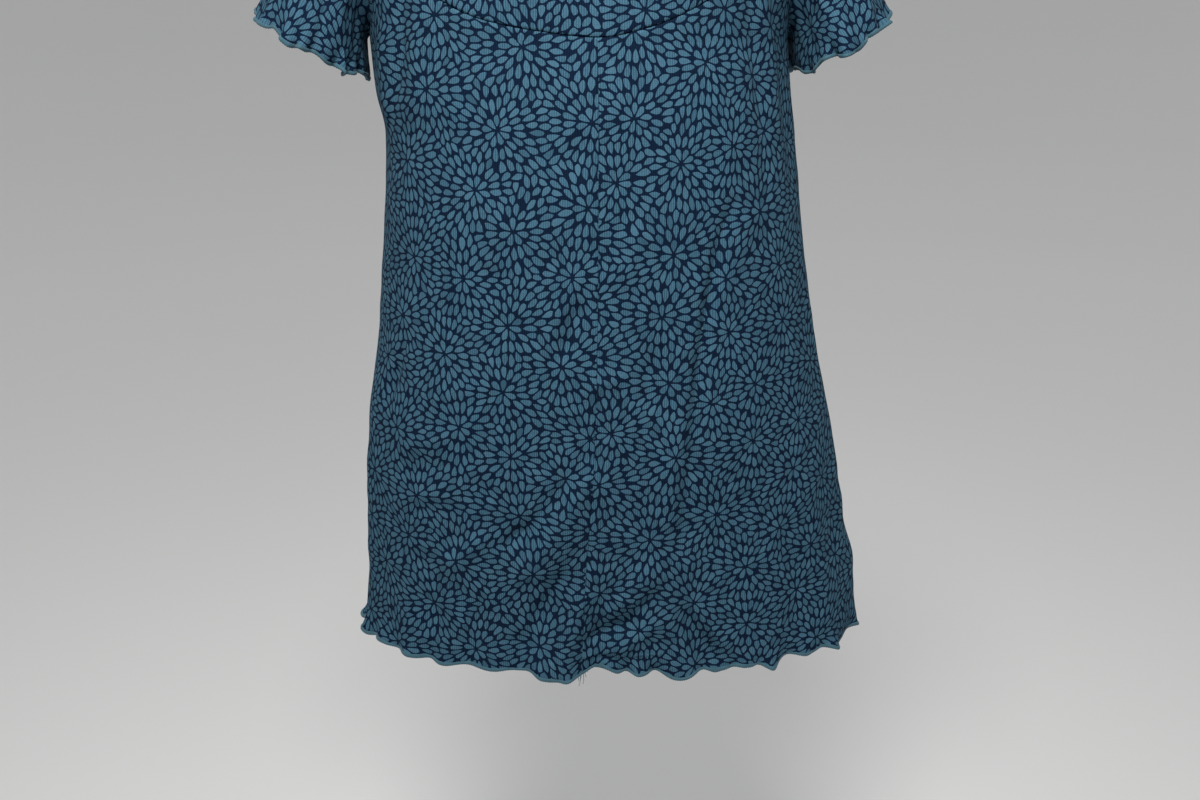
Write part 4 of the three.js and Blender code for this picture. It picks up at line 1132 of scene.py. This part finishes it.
def build_piece(name, mats):
    spec = PANELS[name]
    panel = spec["make"]()
    na, nb = spec["grid"]
    pat = Pattern(panel.bare, na, nb, spec["mid"])
    col = np.linspace(0, 1, na)
    if name.startswith("sleeve"):
        v0 = np.zeros(na)
    else:
        v0 = panel.bare(col, 0 * col)[:, 2]
    pat.level(v0)
    ob_ab = pat.boundary(spec["step"])
    outline_ab = ob_ab[:, :2]
    u, v = pat.flat(outline_ab[:, 0], outline_ab[:, 1])
    outline = np.stack([u, v], 1)
    lo, hi = outline.min(0), outline.max(0)
    scale = spec.get("print", 1.0)
    petals, centres, tone, bursts = petal_field(lo / scale, hi / scale, spec["seed"], spec.get("points", PETAL["points"]))
    petals, centres = petals * scale, centres * scale
    hit = inside(outline, centres)
    near = hit | inside(outline, petals[:, 0]) | inside(outline, petals[:, petals.shape[1] // 2]) | inside(outline, petals[:, petals.shape[1] // 4])
    petals, centres, tone = petals[near], centres[near], tone[near]
    rng = np.random.default_rng(spec["seed"] + 500)
    extra = [centres[inside(outline, centres)]]
    # points along the seams, so that the dip beside each is narrow
    d = np.roll(outline, -1, 0) - np.roll(outline, 1, 0)
    off = unit(np.stack([-d[:, 1], d[:, 0]], 1))
    seamed = np.isin(ob_ab[:, 2], spec["seamed"])
    rows = np.concatenate([outline[seamed] + off[seamed] * k for k in (0.4, 0.9, 2.0)])
    rows = rows[inside(outline, rows)]
    extra.append(rows)
    if name in FRILLED:
        fine = spread(lo, hi, 2.8, rng)
        ga = np.linspace(0, 1, 400)
        hu, hv = pat.flat(ga, 0 * ga)
        fine = fine[fine[:, 1] < hv.max() + FRILL_DEPTH + 4]
        d = np.sqrt(((fine[:, None] - np.stack([hu, hv], 1)[None]) ** 2).sum(2)).min(1)
        fine = fine[(d > 0.9) & (d < FRILL_DEPTH + 3)]
        fine = fine[inside(outline, fine)]
        extra.append(fine)
    first = len(extra[0])
    extra = np.concatenate(extra)
    have = np.concatenate([outline, petals.reshape(-1, 2)])
    both = np.concatenate([have, extra])
    close = (neighbours(both, 0.3, 1)[len(have):, 0] >= 0) & (np.arange(len(extra)) >= first)
    fine_left = int((~close[first:]).sum())
    extra = extra[~close]
    f1, ab1, t1, p1, rim1, pl1 = triangulate(outline, outline_ab, petals, extra, pat)
    inner = spread(lo, hi, 4.6, rng)
    inner = inner[inside(outline, inner)]
    inner = np.concatenate([extra[len(extra) - fine_left:], inner])
    f2, ab2, t2, p2, rim2, pl2 = triangulate(outline, outline_ab, petals[:0], inner, pat)
    size = hi - lo
    ea, eb = 0.2 / size[0], 0.2 / size[1]
    P1, N1 = finished(panel, ab1, ea, eb)
    P2, N2 = finished(panel, ab2, ea, eb)
    P2 = P2 - CLOTH * N2
    flip = panel.flip
    order = (lambda t: t[:, ::-1]) if flip else (lambda t: t)
    T1 = order(t1)
    T2 = order(t2)[:, ::-1] + len(P1)
    wall = zipper(rim1, pl1, rim2 + len(P1), pl2, len(outline))
    wall = wall[:, ::-1] if not flip else wall
    verts = np.concatenate([P1, P2])
    tris = np.concatenate([T1, T2, wall])
    slots = np.concatenate([np.where(p1 >= 0, 1, 0), np.full(len(t2), 2), np.zeros(len(wall), int)])
    tones = np.concatenate([np.where(p1 >= 0, tone[np.maximum(p1, 0)], 0), np.zeros(len(t2) + len(wall))])
    flat = np.concatenate([f1, f2])
    unitflat = (flat - lo) / size
    bake = unitflat * np.array([0.62, 0.98]) + 0.01
    bake[len(f1):, 0] = 0.65 + unitflat[len(f1):, 0] * 0.34
    uvs = flat / 100.0
    ob = add_mesh(name + "_cloth", verts, tris, mats, slots, np.concatenate([N1, -N2]), uvs, bake, tones)
    area = 0.5 * abs((outline[:, 0] * np.roll(outline[:, 1], -1) - outline[:, 1] * np.roll(outline[:, 0], -1)).sum())
    q1 = pat.flat(ab1[:, 0], ab1[:, 1])
    err = np.hypot(q1[0] - f1[:, 0], q1[1] - f1[:, 1])
    bad = err > 0.3
    print(f"   off the map: {bad.sum()} of {len(err)}; where {f1[bad][:3].round(0).tolist()}")
    st = np.linalg.norm(np.diff(pat.S, axis=0), axis=2) / np.maximum(np.hypot(np.diff(pat.U, axis=0), np.diff(pat.V, axis=0)), 1e-6)
    sv = np.linalg.norm(np.diff(pat.S, axis=1), axis=2) / np.maximum(np.hypot(np.diff(pat.U, axis=1), np.diff(pat.V, axis=1)), 1e-6)
    print(f"   stretch across {np.percentile(st, [1, 50, 99]).round(3)} up {np.percentile(sv, [1, 50, 99]).round(3)}")
    print(f"{name}: {len(petals)} petals, {len(bursts)} bursts, {len(tris)} triangles ({len(t1)} out, {len(t2)} in), flat {size.round(0)}, area {area:.0f}, "
          f"map error {err.max():.3f}, print cover {np.abs(shoelace(petals)).sum() / area:.2f}", flush=True)
    return ob, panel, size, area


def shoelace(p):
    return 0.5 * (p[:, :, 0] * np.roll(p[:, :, 1], -1, 1) - p[:, :, 1] * np.roll(p[:, :, 0], -1, 1)).sum(1)


# ------------------------------------------------------------------ rolled edges and thread ends
def tube(centres, across, along, half_a, half_b, closed, sides=8, ripple=None):
    """Skin round a run of centres: an oval with half-sizes half_a and half_b along the two given directions."""
    n = len(centres)
    th = 2 * np.pi * np.arange(sides) / sides
    swell = 1.0 if ripple is None else ripple(np.arange(n)[:, None], th[None])[..., None]
    ca, cb = np.cos(th)[None, :, None], np.sin(th)[None, :, None]
    ring = centres[:, None] + (across[:, None] * ca * np.reshape(half_a, (-1, 1, 1)) + along[:, None] * cb * np.reshape(half_b, (-1, 1, 1))) * swell
    nrm = unit(across[:, None] * ca / np.mean(half_a) + along[:, None] * cb / np.mean(half_b))
    i = np.arange(n if closed else n - 1)[:, None]
    k = np.arange(sides)[None]
    a, b = i * sides + k, i * sides + (k + 1) % sides
    c, d = ((i + 1) % n) * sides + (k + 1) % sides, ((i + 1) % n) * sides + k
    tris = np.concatenate([np.stack([a, b, c], -1).reshape(-1, 3), np.stack([a, c, d], -1).reshape(-1, 3)])
    verts, normals = ring.reshape(-1, 3), nrm.reshape(-1, 3)
    run = np.concatenate([[0], np.cumsum(np.linalg.norm(np.diff(centres, axis=0), axis=1))])
    uv = np.stack(np.broadcast_arrays(run[:, None], np.arange(sides)[None] * 1.1), -1).reshape(-1, 2) / 100
    if not closed:
        ends = []
        for e, order in ((0, range(sides)), (n - 1, range(sides))):
            verts = np.concatenate([verts, centres[e:e + 1]])
            normals = np.concatenate([normals, unit((centres[e] - centres[1 if e == 0 else n - 2])[None])])
            uv = np.concatenate([uv, uv[e * sides:e * sides + 1]])
            for q in order:
                t = (len(verts) - 1, e * sides + (q + 1) % sides, e * sides + q)
                ends.append(t if e == 0 else t[::-1])
        tris = np.concatenate([tris, np.array(ends)])
    # turn it the right way out
    p = verts[tris]
    if np.einsum("ij,ij->i", p[:, 0], np.cross(p[:, 1], p[:, 2])).sum() < 0:
        tris = tris[:, ::-1]
    return verts, tris, normals, uv


def edge_run(panel, side, start, end, step, sizes, down):
    """Points along one edge of a panel, with their normals and the way off the edge."""
    t = np.linspace(start, end, 1600)
    ab = np.stack([t, np.full_like(t, side)], 1)
    p, n = finished(panel, ab, 0.35 / sizes[0], 0.35 / sizes[1])
    inner = ab.copy()
    inner[:, 1] = abs(side - 1.2 / sizes[1])
    inward = unit(panel.face(inner[:, 0], inner[:, 1]) - p)
    return p, n, inward


def edging(name, runs, step, half_a, half_b, mat, seed):
    p, n, t = (np.concatenate(x) for x in zip(*runs))
    keep = np.concatenate([[True], np.linalg.norm(np.diff(p, axis=0), axis=1) > 1e-6])
    p, n, t = p[keep], n[keep], t[keep]
    s = np.concatenate([[0], np.cumsum(np.linalg.norm(np.diff(np.concatenate([p, p[:1]]), axis=0), axis=1))])
    count = int(s[-1] / step)
    want = np.arange(count) / count * s[-1]
    at = lambda v: np.stack([np.interp(want, s, np.append(v[:, k], v[0, k])) for k in range(3)], 1)
    p, n, t = at(p), at(n), at(t)
    for _ in range(3):
        n = unit(n + np.roll(n, 1, 0) + np.roll(n, -1, 0))
        t = unit(t + np.roll(t, 1, 0) + np.roll(t, -1, 0))
    t = unit(t - n * (t * n).sum(1, keepdims=True))
    rng = np.random.default_rng(seed)
    wide = 1 + 0.10 * np.sin(want / 9.1 + 1) + 0.07 * np.sin(want / 3.7) + 0.05 * np.sin(want / 23 + 2)
    a, b = half_a * (1 + 0.06 * np.sin(want / 5.3)), half_b * wide
    c = p - n * CLOTH / 2 + t * (b - 0.7)[:, None]
    # slanting stitches wrapped over the edge, two millimetres apart
    ripple = lambda i, th: 1 + 0.11 * np.sin(want[i] * 2 * np.pi / 1.9 + 1.2 * np.sin(th) + 0.5 * np.sin(want[i] / 4.1))
    v, tri, nn, uv = tube(c, n, t, a, b, True, 10, ripple)
    ob = add_mesh(name, v, tri, [mat], np.zeros(len(tri), int), None, uv, None, None)
    return ob, s[-1]


def thread_tails(name, foot, n, mat):
    """A few short thread tails left where the centre seam runs out at the hem."""
    parts = []
    tails = [  # along the hem, outward, drop, bend
        (-4.5, 0.6, 6.5, -2.5), (-1.8, 1.4, 9.0, 1.5), (0.4, 0.3, 4.5, 2.2), (2.6, 1.0, 7.5, 3.4), (5.2, 0.2, 5.0, -1.0), (-7.5, 0.2, 4.0, -3.0),
    ]
    side = unit(np.cross(n, [0, 0, 1.0]))
    for x, o, drop, bend in tails:
        u = np.linspace(0, 1, 12)
        c = foot + side * (x + bend * u ** 2)[:, None] + n * (o * np.sin(u * 2.2))[:, None] + np.array([0, 0, 1.0]) * (1.2 - (drop + 1.2) * u)[:, None]
        tan = unit(np.gradient(c, axis=0))
        a = unit(np.cross(tan, n))
        b = np.cross(tan, a)
        parts.append(tube(c, a, b, 0.24 * (1 - 0.35 * u), 0.24 * (1 - 0.35 * u), False, 6))
    off, V, T, NN, U = 0, [], [], [], []
    for v, t, nn, uv in parts:
        V.append(v), T.append(t + off), NN.append(nn), U.append(uv)
        off += len(v)
    V, T, NN, U = (np.concatenate(x) for x in (V, T, NN, U))
    return add_mesh(name, V, T, [mat], np.zeros(len(T), int), None, U, None, None)


# ------------------------------------------------------------------ materials
def node(nt, kind, **values):
    n = nt.nodes.new(kind)
    for k, v in values.items():
        setattr(n, k, v)
    return n


def math_node(nt, op, a, b=None, clamp=False):
    m = node(nt, "ShaderNodeMath", operation=op, use_clamp=clamp)
    for i, x in enumerate((a, b)):
        if x is None:
            continue
        if isinstance(x, (int, float)):
            m.inputs[i].default_value = x
        else:
            nt.links.new(x, m.inputs[i])
    return m.outputs[0]


def knit_height(nt, uv, pitch=1.6, course=1.1):
    """Fine upright ribs of the knit, with the courses across them: 0 to 1."""
    sep = node(nt, "ShaderNodeSeparateXYZ")
    nt.links.new(uv, sep.inputs[0])
    noise = node(nt, "ShaderNodeTexNoise")
    noise.inputs["Scale"].default_value = 9.0
    noise.inputs["Detail"].default_value = 3.0
    nt.links.new(uv, noise.inputs["Vector"])
    wob = math_node(nt, "MULTIPLY", noise.outputs["Fac"], 3.0)
    x = math_node(nt, "ADD", math_node(nt, "MULTIPLY", sep.outputs[0], 2 * math.pi * 100 / pitch), wob)
    y = math_node(nt, "MULTIPLY", sep.outputs[1], 2 * math.pi * 100 / course)
    wales = math_node(nt, "SINE", x)
    courses = math_node(nt, "SINE", math_node(nt, "ADD", y, math_node(nt, "MULTIPLY", wales, 1.4)))
    h = math_node(nt, "ADD", math_node(nt, "MULTIPLY", wales, 0.36), math_node(nt, "MULTIPLY", courses, 0.14))
    return math_node(nt, "ADD", h, 0.5), noise.outputs["Fac"]


def cloth_material(name, colour, low, tone_share, rough=0.9, sheen=0.012, ghost=None):
    m = bpy.data.materials.new(name)
    m.use_nodes = True
    nt = m.node_tree
    nt.nodes.clear()
    out = node(nt, "ShaderNodeOutputMaterial")
    bsdf = node(nt, "ShaderNodeBsdfPrincipled")
    nt.links.new(bsdf.outputs[0], out.inputs["Surface"])
    uvn = node(nt, "ShaderNodeUVMap", uv_map="cloth")
    height, blot = knit_height(nt, uvn.outputs[0])
    mix = node(nt, "ShaderNodeMix", data_type="RGBA")
    mix.inputs[6].default_value = (*low, 1)
    mix.inputs[7].default_value = (*colour, 1)
    if ghost:
        # the print shows faintly through on the reverse
        vor = node(nt, "ShaderNodeTexVoronoi", feature="DISTANCE_TO_EDGE")
        vor.inputs["Scale"].default_value = ghost["scale"]
        vor.inputs["Randomness"].default_value = 0.8
        warp = node(nt, "ShaderNodeMapping")
        warp.inputs["Scale"].default_value = (1.0, 0.62, 1.0)
        nt.links.new(uvn.outputs[0], warp.inputs["Vector"])
        nt.links.new(warp.outputs[0], vor.inputs["Vector"])
        fac = math_node(nt, "MULTIPLY", math_node(nt, "SUBTRACT", vor.outputs["Distance"], 0.09), 9.0, True)
    else:
        att = node(nt, "ShaderNodeAttribute", attribute_name="tone")
        fac = math_node(nt, "ADD", math_node(nt, "MULTIPLY", att.outputs["Fac"], tone_share), 0.62)
    # the knit's height also sets the colour: painted shade in the hollows between ribs and courses, painted highlight
    # on their tops
    fac = math_node(nt, "ADD", fac, math_node(nt, "MULTIPLY", math_node(nt, "SUBTRACT", height, 0.5), 1.7), True)
    nt.links.new(fac, mix.inputs[0])
    # slow unevenness of the dye
    big = node(nt, "ShaderNodeTexNoise")
    big.inputs["Scale"].default_value = 1.3
    big.inputs["Detail"].default_value = 4.0
    nt.links.new(uvn.outputs[0], big.inputs["Vector"])
    fleck = node(nt, "ShaderNodeTexNoise")
    fleck.inputs["Scale"].default_value = 52.0
    fleck.inputs["Detail"].default_value = 2.0
    nt.links.new(uvn.outputs[0], fleck.inputs["Vector"])
    tone = math_node(nt, "ADD", math_node(nt, "MULTIPLY", big.outputs["Fac"], 0.16), 0.67)
    tone = math_node(nt, "ADD", tone, math_node(nt, "MULTIPLY", fleck.outputs["Fac"], 0.5))
    hsv = node(nt, "ShaderNodeHueSaturation")
    nt.links.new(mix.outputs[2], hsv.inputs["Color"])
    nt.links.new(tone, hsv.inputs["Value"])
    nt.links.new(hsv.outputs[0], bsdf.inputs["Base Color"])
    bsdf.inputs["Roughness"].default_value = rough
    bsdf.inputs["Specular IOR Level"].default_value = 0.04
    bsdf.inputs["Sheen Weight"].default_value = sheen
    bsdf.inputs["Sheen Roughness"].default_value = 0.45
    bsdf.inputs["Sheen Tint"].default_value = (0.55, 0.75, 0.9, 1)
    bump = node(nt, "ShaderNodeBump")
    bump.inputs["Strength"].default_value = 0.35
    bump.inputs["Distance"].default_value = 0.00025
    nt.links.new(height, bump.inputs["Height"])
    nt.links.new(bump.outputs[0], bsdf.inputs["Normal"])
    return m


def thread_material(name, colour, low):
    m = bpy.data.materials.new(name)
    m.use_nodes = True
    nt = m.node_tree
    nt.nodes.clear()
    out = node(nt, "ShaderNodeOutputMaterial")
    bsdf = node(nt, "ShaderNodeBsdfPrincipled")
    nt.links.new(bsdf.outputs[0], out.inputs["Surface"])
    uvn = node(nt, "ShaderNodeUVMap", uv_map="cloth")
    sep = node(nt, "ShaderNodeSeparateXYZ")
    nt.links.new(uvn.outputs[0], sep.inputs[0])
    x = math_node(nt, "ADD", math_node(nt, "MULTIPLY", sep.outputs[0], 2 * math.pi * 100 / 0.63), math_node(nt, "MULTIPLY", sep.outputs[1], 60.0))
    h = math_node(nt, "ADD", math_node(nt, "MULTIPLY", math_node(nt, "SINE", x), 0.5), 0.5)
    noise = node(nt, "ShaderNodeTexNoise")
    noise.inputs["Scale"].default_value = 14.0
    nt.links.new(uvn.outputs[0], noise.inputs["Vector"])
    # colour follows the stitch height (painted shade between the wrapped stitches, painted highlight on their tops)
    # plus a random noise tone
    fac = math_node(nt, "ADD", math_node(nt, "MULTIPLY", h, 0.5), math_node(nt, "MULTIPLY", noise.outputs["Fac"], 0.6), True)
    mix = node(nt, "ShaderNodeMix", data_type="RGBA")
    mix.inputs[6].default_value = (*low, 1)
    mix.inputs[7].default_value = (*colour, 1)
    nt.links.new(fac, mix.inputs[0])
    nt.links.new(mix.outputs[2], bsdf.inputs["Base Color"])
    bsdf.inputs["Roughness"].default_value = 0.7
    bsdf.inputs["Specular IOR Level"].default_value = 0.3
    bsdf.inputs["Sheen Weight"].default_value = 0.1
    bump = node(nt, "ShaderNodeBump")
    bump.inputs["Strength"].default_value = 0.5
    bump.inputs["Distance"].default_value = 0.0002
    nt.links.new(h, bump.inputs["Height"])
    nt.links.new(bump.outputs[0], bsdf.inputs["Normal"])
    return m


def floor_material():
    m = bpy.data.materials.new("pale_floor")
    m.use_nodes = True
    nt = m.node_tree
    bsdf = nt.nodes["Principled BSDF"]
    tex = node(nt, "ShaderNodeTexNoise")
    tex.inputs["Scale"].default_value = 0.6
    geo = node(nt, "ShaderNodeTexCoord")
    nt.links.new(geo.outputs["Object"], tex.inputs["Vector"])
    ramp = node(nt, "ShaderNodeMix", data_type="RGBA")
    ramp.inputs[6].default_value = (0.86, 0.86, 0.855, 1)
    ramp.inputs[7].default_value = (0.88, 0.88, 0.875, 1)
    nt.links.new(tex.outputs["Fac"], ramp.inputs[0])
    nt.links.new(ramp.outputs[2], bsdf.inputs["Base Color"])
    bsdf.inputs["Roughness"].default_value = 0.95
    bsdf.inputs["Specular IOR Level"].default_value = 0.1
    return m


PETAL_BLUE, PETAL_LOW = (0.0590, 0.1410, 0.2070), (0.0290, 0.0770, 0.1200)
GROUND_BLUE, GROUND_LOW = (0.0052, 0.0145, 0.0360), (0.0030, 0.0085, 0.0230)
REVERSE_PALE, REVERSE_DARK = (0.075, 0.145, 0.195), (0.028, 0.040, 0.075)
THREAD, THREAD_LOW = (0.056, 0.150, 0.200), (0.020, 0.060, 0.086)


def build():
    mats = [
        cloth_material("jersey_ground", GROUND_BLUE, GROUND_LOW, 0.0),
        cloth_material("jersey_petals", PETAL_BLUE, PETAL_LOW, 0.25),
        cloth_material("jersey_reverse", REVERSE_PALE, REVERSE_DARK, 0.0, ghost={"scale": 17.0}),
    ]
    thread = thread_material("edge_thread", THREAD, THREAD_LOW)
    made, panels, sizes, areas = {}, {}, {}, {}
    for name in PANELS:
        made[name], panels[name], sizes[name], areas[name] = build_piece(name, mats)
    fl, fr, bk, yk = (panels[k] for k in ("front_left", "front_right", "back", "front_yoke"))
    hem_runs = [edge_run(fl, 0, 0, 1, 0.6, sizes["front_left"], True), edge_run(fr, 0, 0, 1, 0.6, sizes["front_right"], True),
                edge_run(bk, 0, 1, 0, 0.6, sizes["back"], True)]
    edges = {"hem_edging": edging("hem_edging", hem_runs, 0.62, 1.05, 1.75, thread, 5)}
    lo, hi = 0.5 - NECK_SHARE / 2, 0.5 + NECK_SHARE / 2
    neck_runs = [edge_run(yk, 1, lo, hi, 0.6, sizes["front_yoke"], False), edge_run(bk, 1, hi, lo, 0.6, sizes["back"], False)]
    edges["neck_edging"] = edging("neck_edging", neck_runs, 0.7, 0.95, 1.3, thread, 6)
    for side in ("left", "right"):
        k = "sleeve_" + side
        edges[k + "_edging"] = edging(k + "_edging", [edge_run(panels[k], 0, 0, 1, 0.6, sizes[k], True)], 0.6, 0.95, 1.5, thread, 7)
    end = np.array([[1.0, 0.0]])
    foot, n = finished(fl, end, 0.35 / sizes["front_left"][0], 0.35 / sizes["front_left"][1])
    edges["thread_end"] = (thread_tails("thread_end", foot[0] - n[0] * 0.4, n[0], thread), 0)
    for k, (ob, length) in edges.items():
        print(f"{k}: {len(ob.data.polygons)} triangles, {length:.0f} mm round")
    return made, edges, sizes, areas


def lights():
    def area(name, at, look, size, watts, colour):
        data = bpy.data.lights.new(name, "AREA")
        data.shape, data.size, data.energy, data.color = "DISK", size, watts, colour
        ob = bpy.data.objects.new(name, data)
        bpy.context.scene.collection.objects.link(ob)
        at, look = Vector(at) * MM, Vector(look) * MM
        ob.matrix_world = Matrix.Translation(at) @ (look - at).to_track_quat("-Z", "Y").to_matrix().to_4x4()
        return ob
    key = area("key", (-190, -930, 900), (0, -60, -300), 0.45, 12.3, (1.0, 0.99, 0.97))
    key.data.spread = math.radians(120)
    sun = bpy.data.lights.new("top", "SUN")
    sun.energy, sun.angle = 0.8, math.radians(50)
    ob = bpy.data.objects.new("top", sun)
    ob.rotation_euler = (-math.radians(42), 0, 0)
    bpy.context.scene.collection.objects.link(ob)
    world = bpy.data.worlds.new("soft")
    world.use_nodes = True
    bg = world.node_tree.nodes["Background"]
    bg.inputs[0].default_value = (0.98, 0.99, 1.0, 1)
    bg.inputs[1].default_value = 0.27
    bpy.context.scene.world = world
    bpy.context.scene.view_settings.view_transform = "Standard"


def floor():
    """A plain floor, flat for some metres round and then rising gently, so that no horizon shows."""
    rings = [0.5, 1, 2, 3, 4, 5, 6, 8, 10, 14, 20, 30, 45, 70, 110]
    n = 72
    verts, faces = [(0, 0, -1.35)], []
    for r in rings:
        z = -1.35 + 0.62 * max(0.0, r - 6) ** 2 / (max(0.0, r - 6) + 6)
        verts += [(r * math.cos(2 * math.pi * k / n), r * math.sin(2 * math.pi * k / n), z) for k in range(n)]
    faces += [(0, 1 + k, 1 + (k + 1) % n) for k in range(n)]
    for i in range(len(rings) - 1):
        a, b = 1 + i * n, 1 + (i + 1) * n
        faces += [(a + k, b + k, b + (k + 1) % n, a + (k + 1) % n) for k in range(n)]
    me = bpy.data.meshes.new("floor")
    me.from_pydata(verts, [], faces)
    me.polygons.foreach_set("use_smooth", [True] * len(me.polygons))
    me.materials.append(floor_material())
    ob = bpy.data.objects.new("floor", me)
    bpy.context.scene.collection.objects.link(ob)


made, edges, sizes, areas = build()
lights()
floor()
for name, ob in made.items():
    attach(ob, "root")
    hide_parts(name)
for ob, _ in edges.values():
    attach(ob, "root")
for name, ob in made.items():
    w, h = sizes[name] * MM
    float(h)
